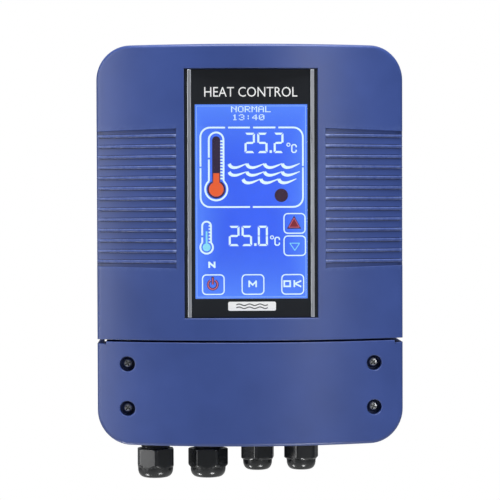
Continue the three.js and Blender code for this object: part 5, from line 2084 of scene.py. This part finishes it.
def one_turn(bm):
    """One turn of the coil: a thin ring bent round a rounded rectangle."""
    half_x, half_d, wire = 13.6, 12.3, 0.34
    rings = []
    for cx, cd in ((1, -1), (1, 1), (-1, 1), (-1, -1)):
        for turn in (-30, 30):
            base = math.atan2(cd, cx) + math.radians(turn)
            x, depth = cx * half_x - cx + math.cos(base), cd * half_d - cd + math.sin(base)
            rings.append([
                bm.verts.new((
                    x + wire * math.cos(a) * math.cos(base), depth + wire * math.cos(a) * math.sin(base),
                    wire * math.sin(a),
                ))
                for a in full_turn(6)
            ])
    for a, b in zip(rings, rings[1:] + rings[:1]):
        bridge(bm, a, b)


add_drawn("transformer_core", draw_core, core_steel, "tray", "core_steel", "transformer")
add_drawn("transformer_bobbin", draw_bobbin, black_plastic, "tray", "component_black")
for name, z in (("coil_low", tz - 18.8), ("coil_high", tz + 9.0)):
    add_rows(
        name, one_turn, copper_wire, "tray", "core_steel", start=(tx, t_rear + 16.6, z), columns=15,
        column_step=(0, 0, 0.69),
    )

# %% Round parts
def add_round(name, node, profile, material, body, slot, *replaced):
    """A piece turned about the depth axis through the middle of a CAD node."""
    x, _, z = middle_mm(node)
    add_drawn(name, lambda bm: front_lathe(bm, x, z, profile, 48), material, body, slot, *replaced)


(x0, x1), (low, high), _ = box_mm("smoothing_capacitor")
r = (x1 - x0) / 2
can = [
    (r - 1.2, low + 0.05), (r - 0.5, low + 0.3), (r - 0.9, low + 2.2), (r - 0.9, low + 3.0), (r, low + 3.8),
    (r, high - 2.0), (r - 0.3, high - 1.2), (r - 1.1, high - 0.7), (r - 2.2, high - 0.75),
]
top = [(r - 1.9, high - 0.9), (r - 1.9, high - 0.2), (r - 2.3, high - 0.05), (r - 3.4, high - 0.3)]
node = "smoothing_capacitor"
add_round("capacitor_can", node, can, sleeve_plastic, "tray", "capacitor_sleeve", node)
add_round("capacitor_top", node, top, tinned_metal, "tray", "zinc_steel")


def add_fuse_part(name, profile, material, slot, *replaced, segments=36):
    """A part of the fuse, turned about its upright axis from (radius, z) pairs."""
    x, depth, _ = middle_mm("fuse")

    def draw(bm):
        rings = turned_rings(bm, profile, segments, lambda u, v, w: (x + u, depth + v, w))
        bm.faces.new(rings[0])
        bm.faces.new(rings[-1])

    add_drawn(name, draw, material, "tray", slot, *replaced)


(x0, x1), _, (low, high) = box_mm("fuse")
r, middle = (x1 - x0) / 2, -90
add_fuse_part("fuse_tube", [(r * 0.86, low + 3), (r * 0.86, high - 3)], fuse_glass, "fuse_glass", "fuse")
wire = [
    (0.12, low + 3.2), (0.12, middle - 0.5), (0.3, middle - 0.2), (0.3, middle + 0.2), (0.12, middle + 0.5),
    (0.12, high - 3.2),
]
add_fuse_part("fuse_wire", wire, tinned_metal, "zinc_steel", segments=8)
for name, z0, z1 in (("fuse_cap_low", low, low + 5), ("fuse_cap_high", high - 5, high)):
    cap = [(r * 0.8, z0), (r * 0.97, z0 + 0.4), (r * 0.97, z1 - 0.3), (r * 0.9, z1)]
    add_fuse_part(name, cap, tinned_metal, "zinc_steel")

low, high = box_mm("buzzer")[1]
can = [
    (5.6, high), (6.0, high - 0.4), (6.0, low + 1.4), (5.6, low + 0.9), (5.0, low + 0.6), (2.0, low + 0.6),
    (1.9, low + 0.1), (1.1, low), (1.0, low + 2.5),
]
add_round("buzzer_can", "buzzer", can, black_plastic, "front_cover", "component_black", "buzzer")
keep_shape("clock_battery", zinc_steel, "front_cover", "zinc_steel", 0.3)
keep_shape("ribbon_cable", grey_plastic, "front_cover", "ribbon_grey", 0.12, 1, corner_degrees=50)
print("inside pieces done")

# %% [markdown]
# ## Floor
# A pale floor lies well below the unit, out of the picture from the front. It is staging and no part of the
# object.

# %% Floor
RADIUS, FLOOR_Z = 2.3, -0.6
floor_bm = bmesh.new()
floor_bm.faces.new([
    floor_bm.verts.new((RADIUS * math.cos(t), RADIUS * math.sin(t), FLOOR_Z)) for t in full_turn(64)
])
floor_mesh = bpy.data.meshes.new("floor")
floor_bm.to_mesh(floor_mesh)
floor_bm.free()
floor = bpy.data.objects.new("floor", floor_mesh)
bpy.context.scene.collection.objects.link(floor)
floor_paint = finish("floor_paint", "#d8d8d6", 0.7, rub_and_sheen=0.0, dust=0.0, drift=0.03, fineness=300)
floor_mesh.materials.append(floor_paint)
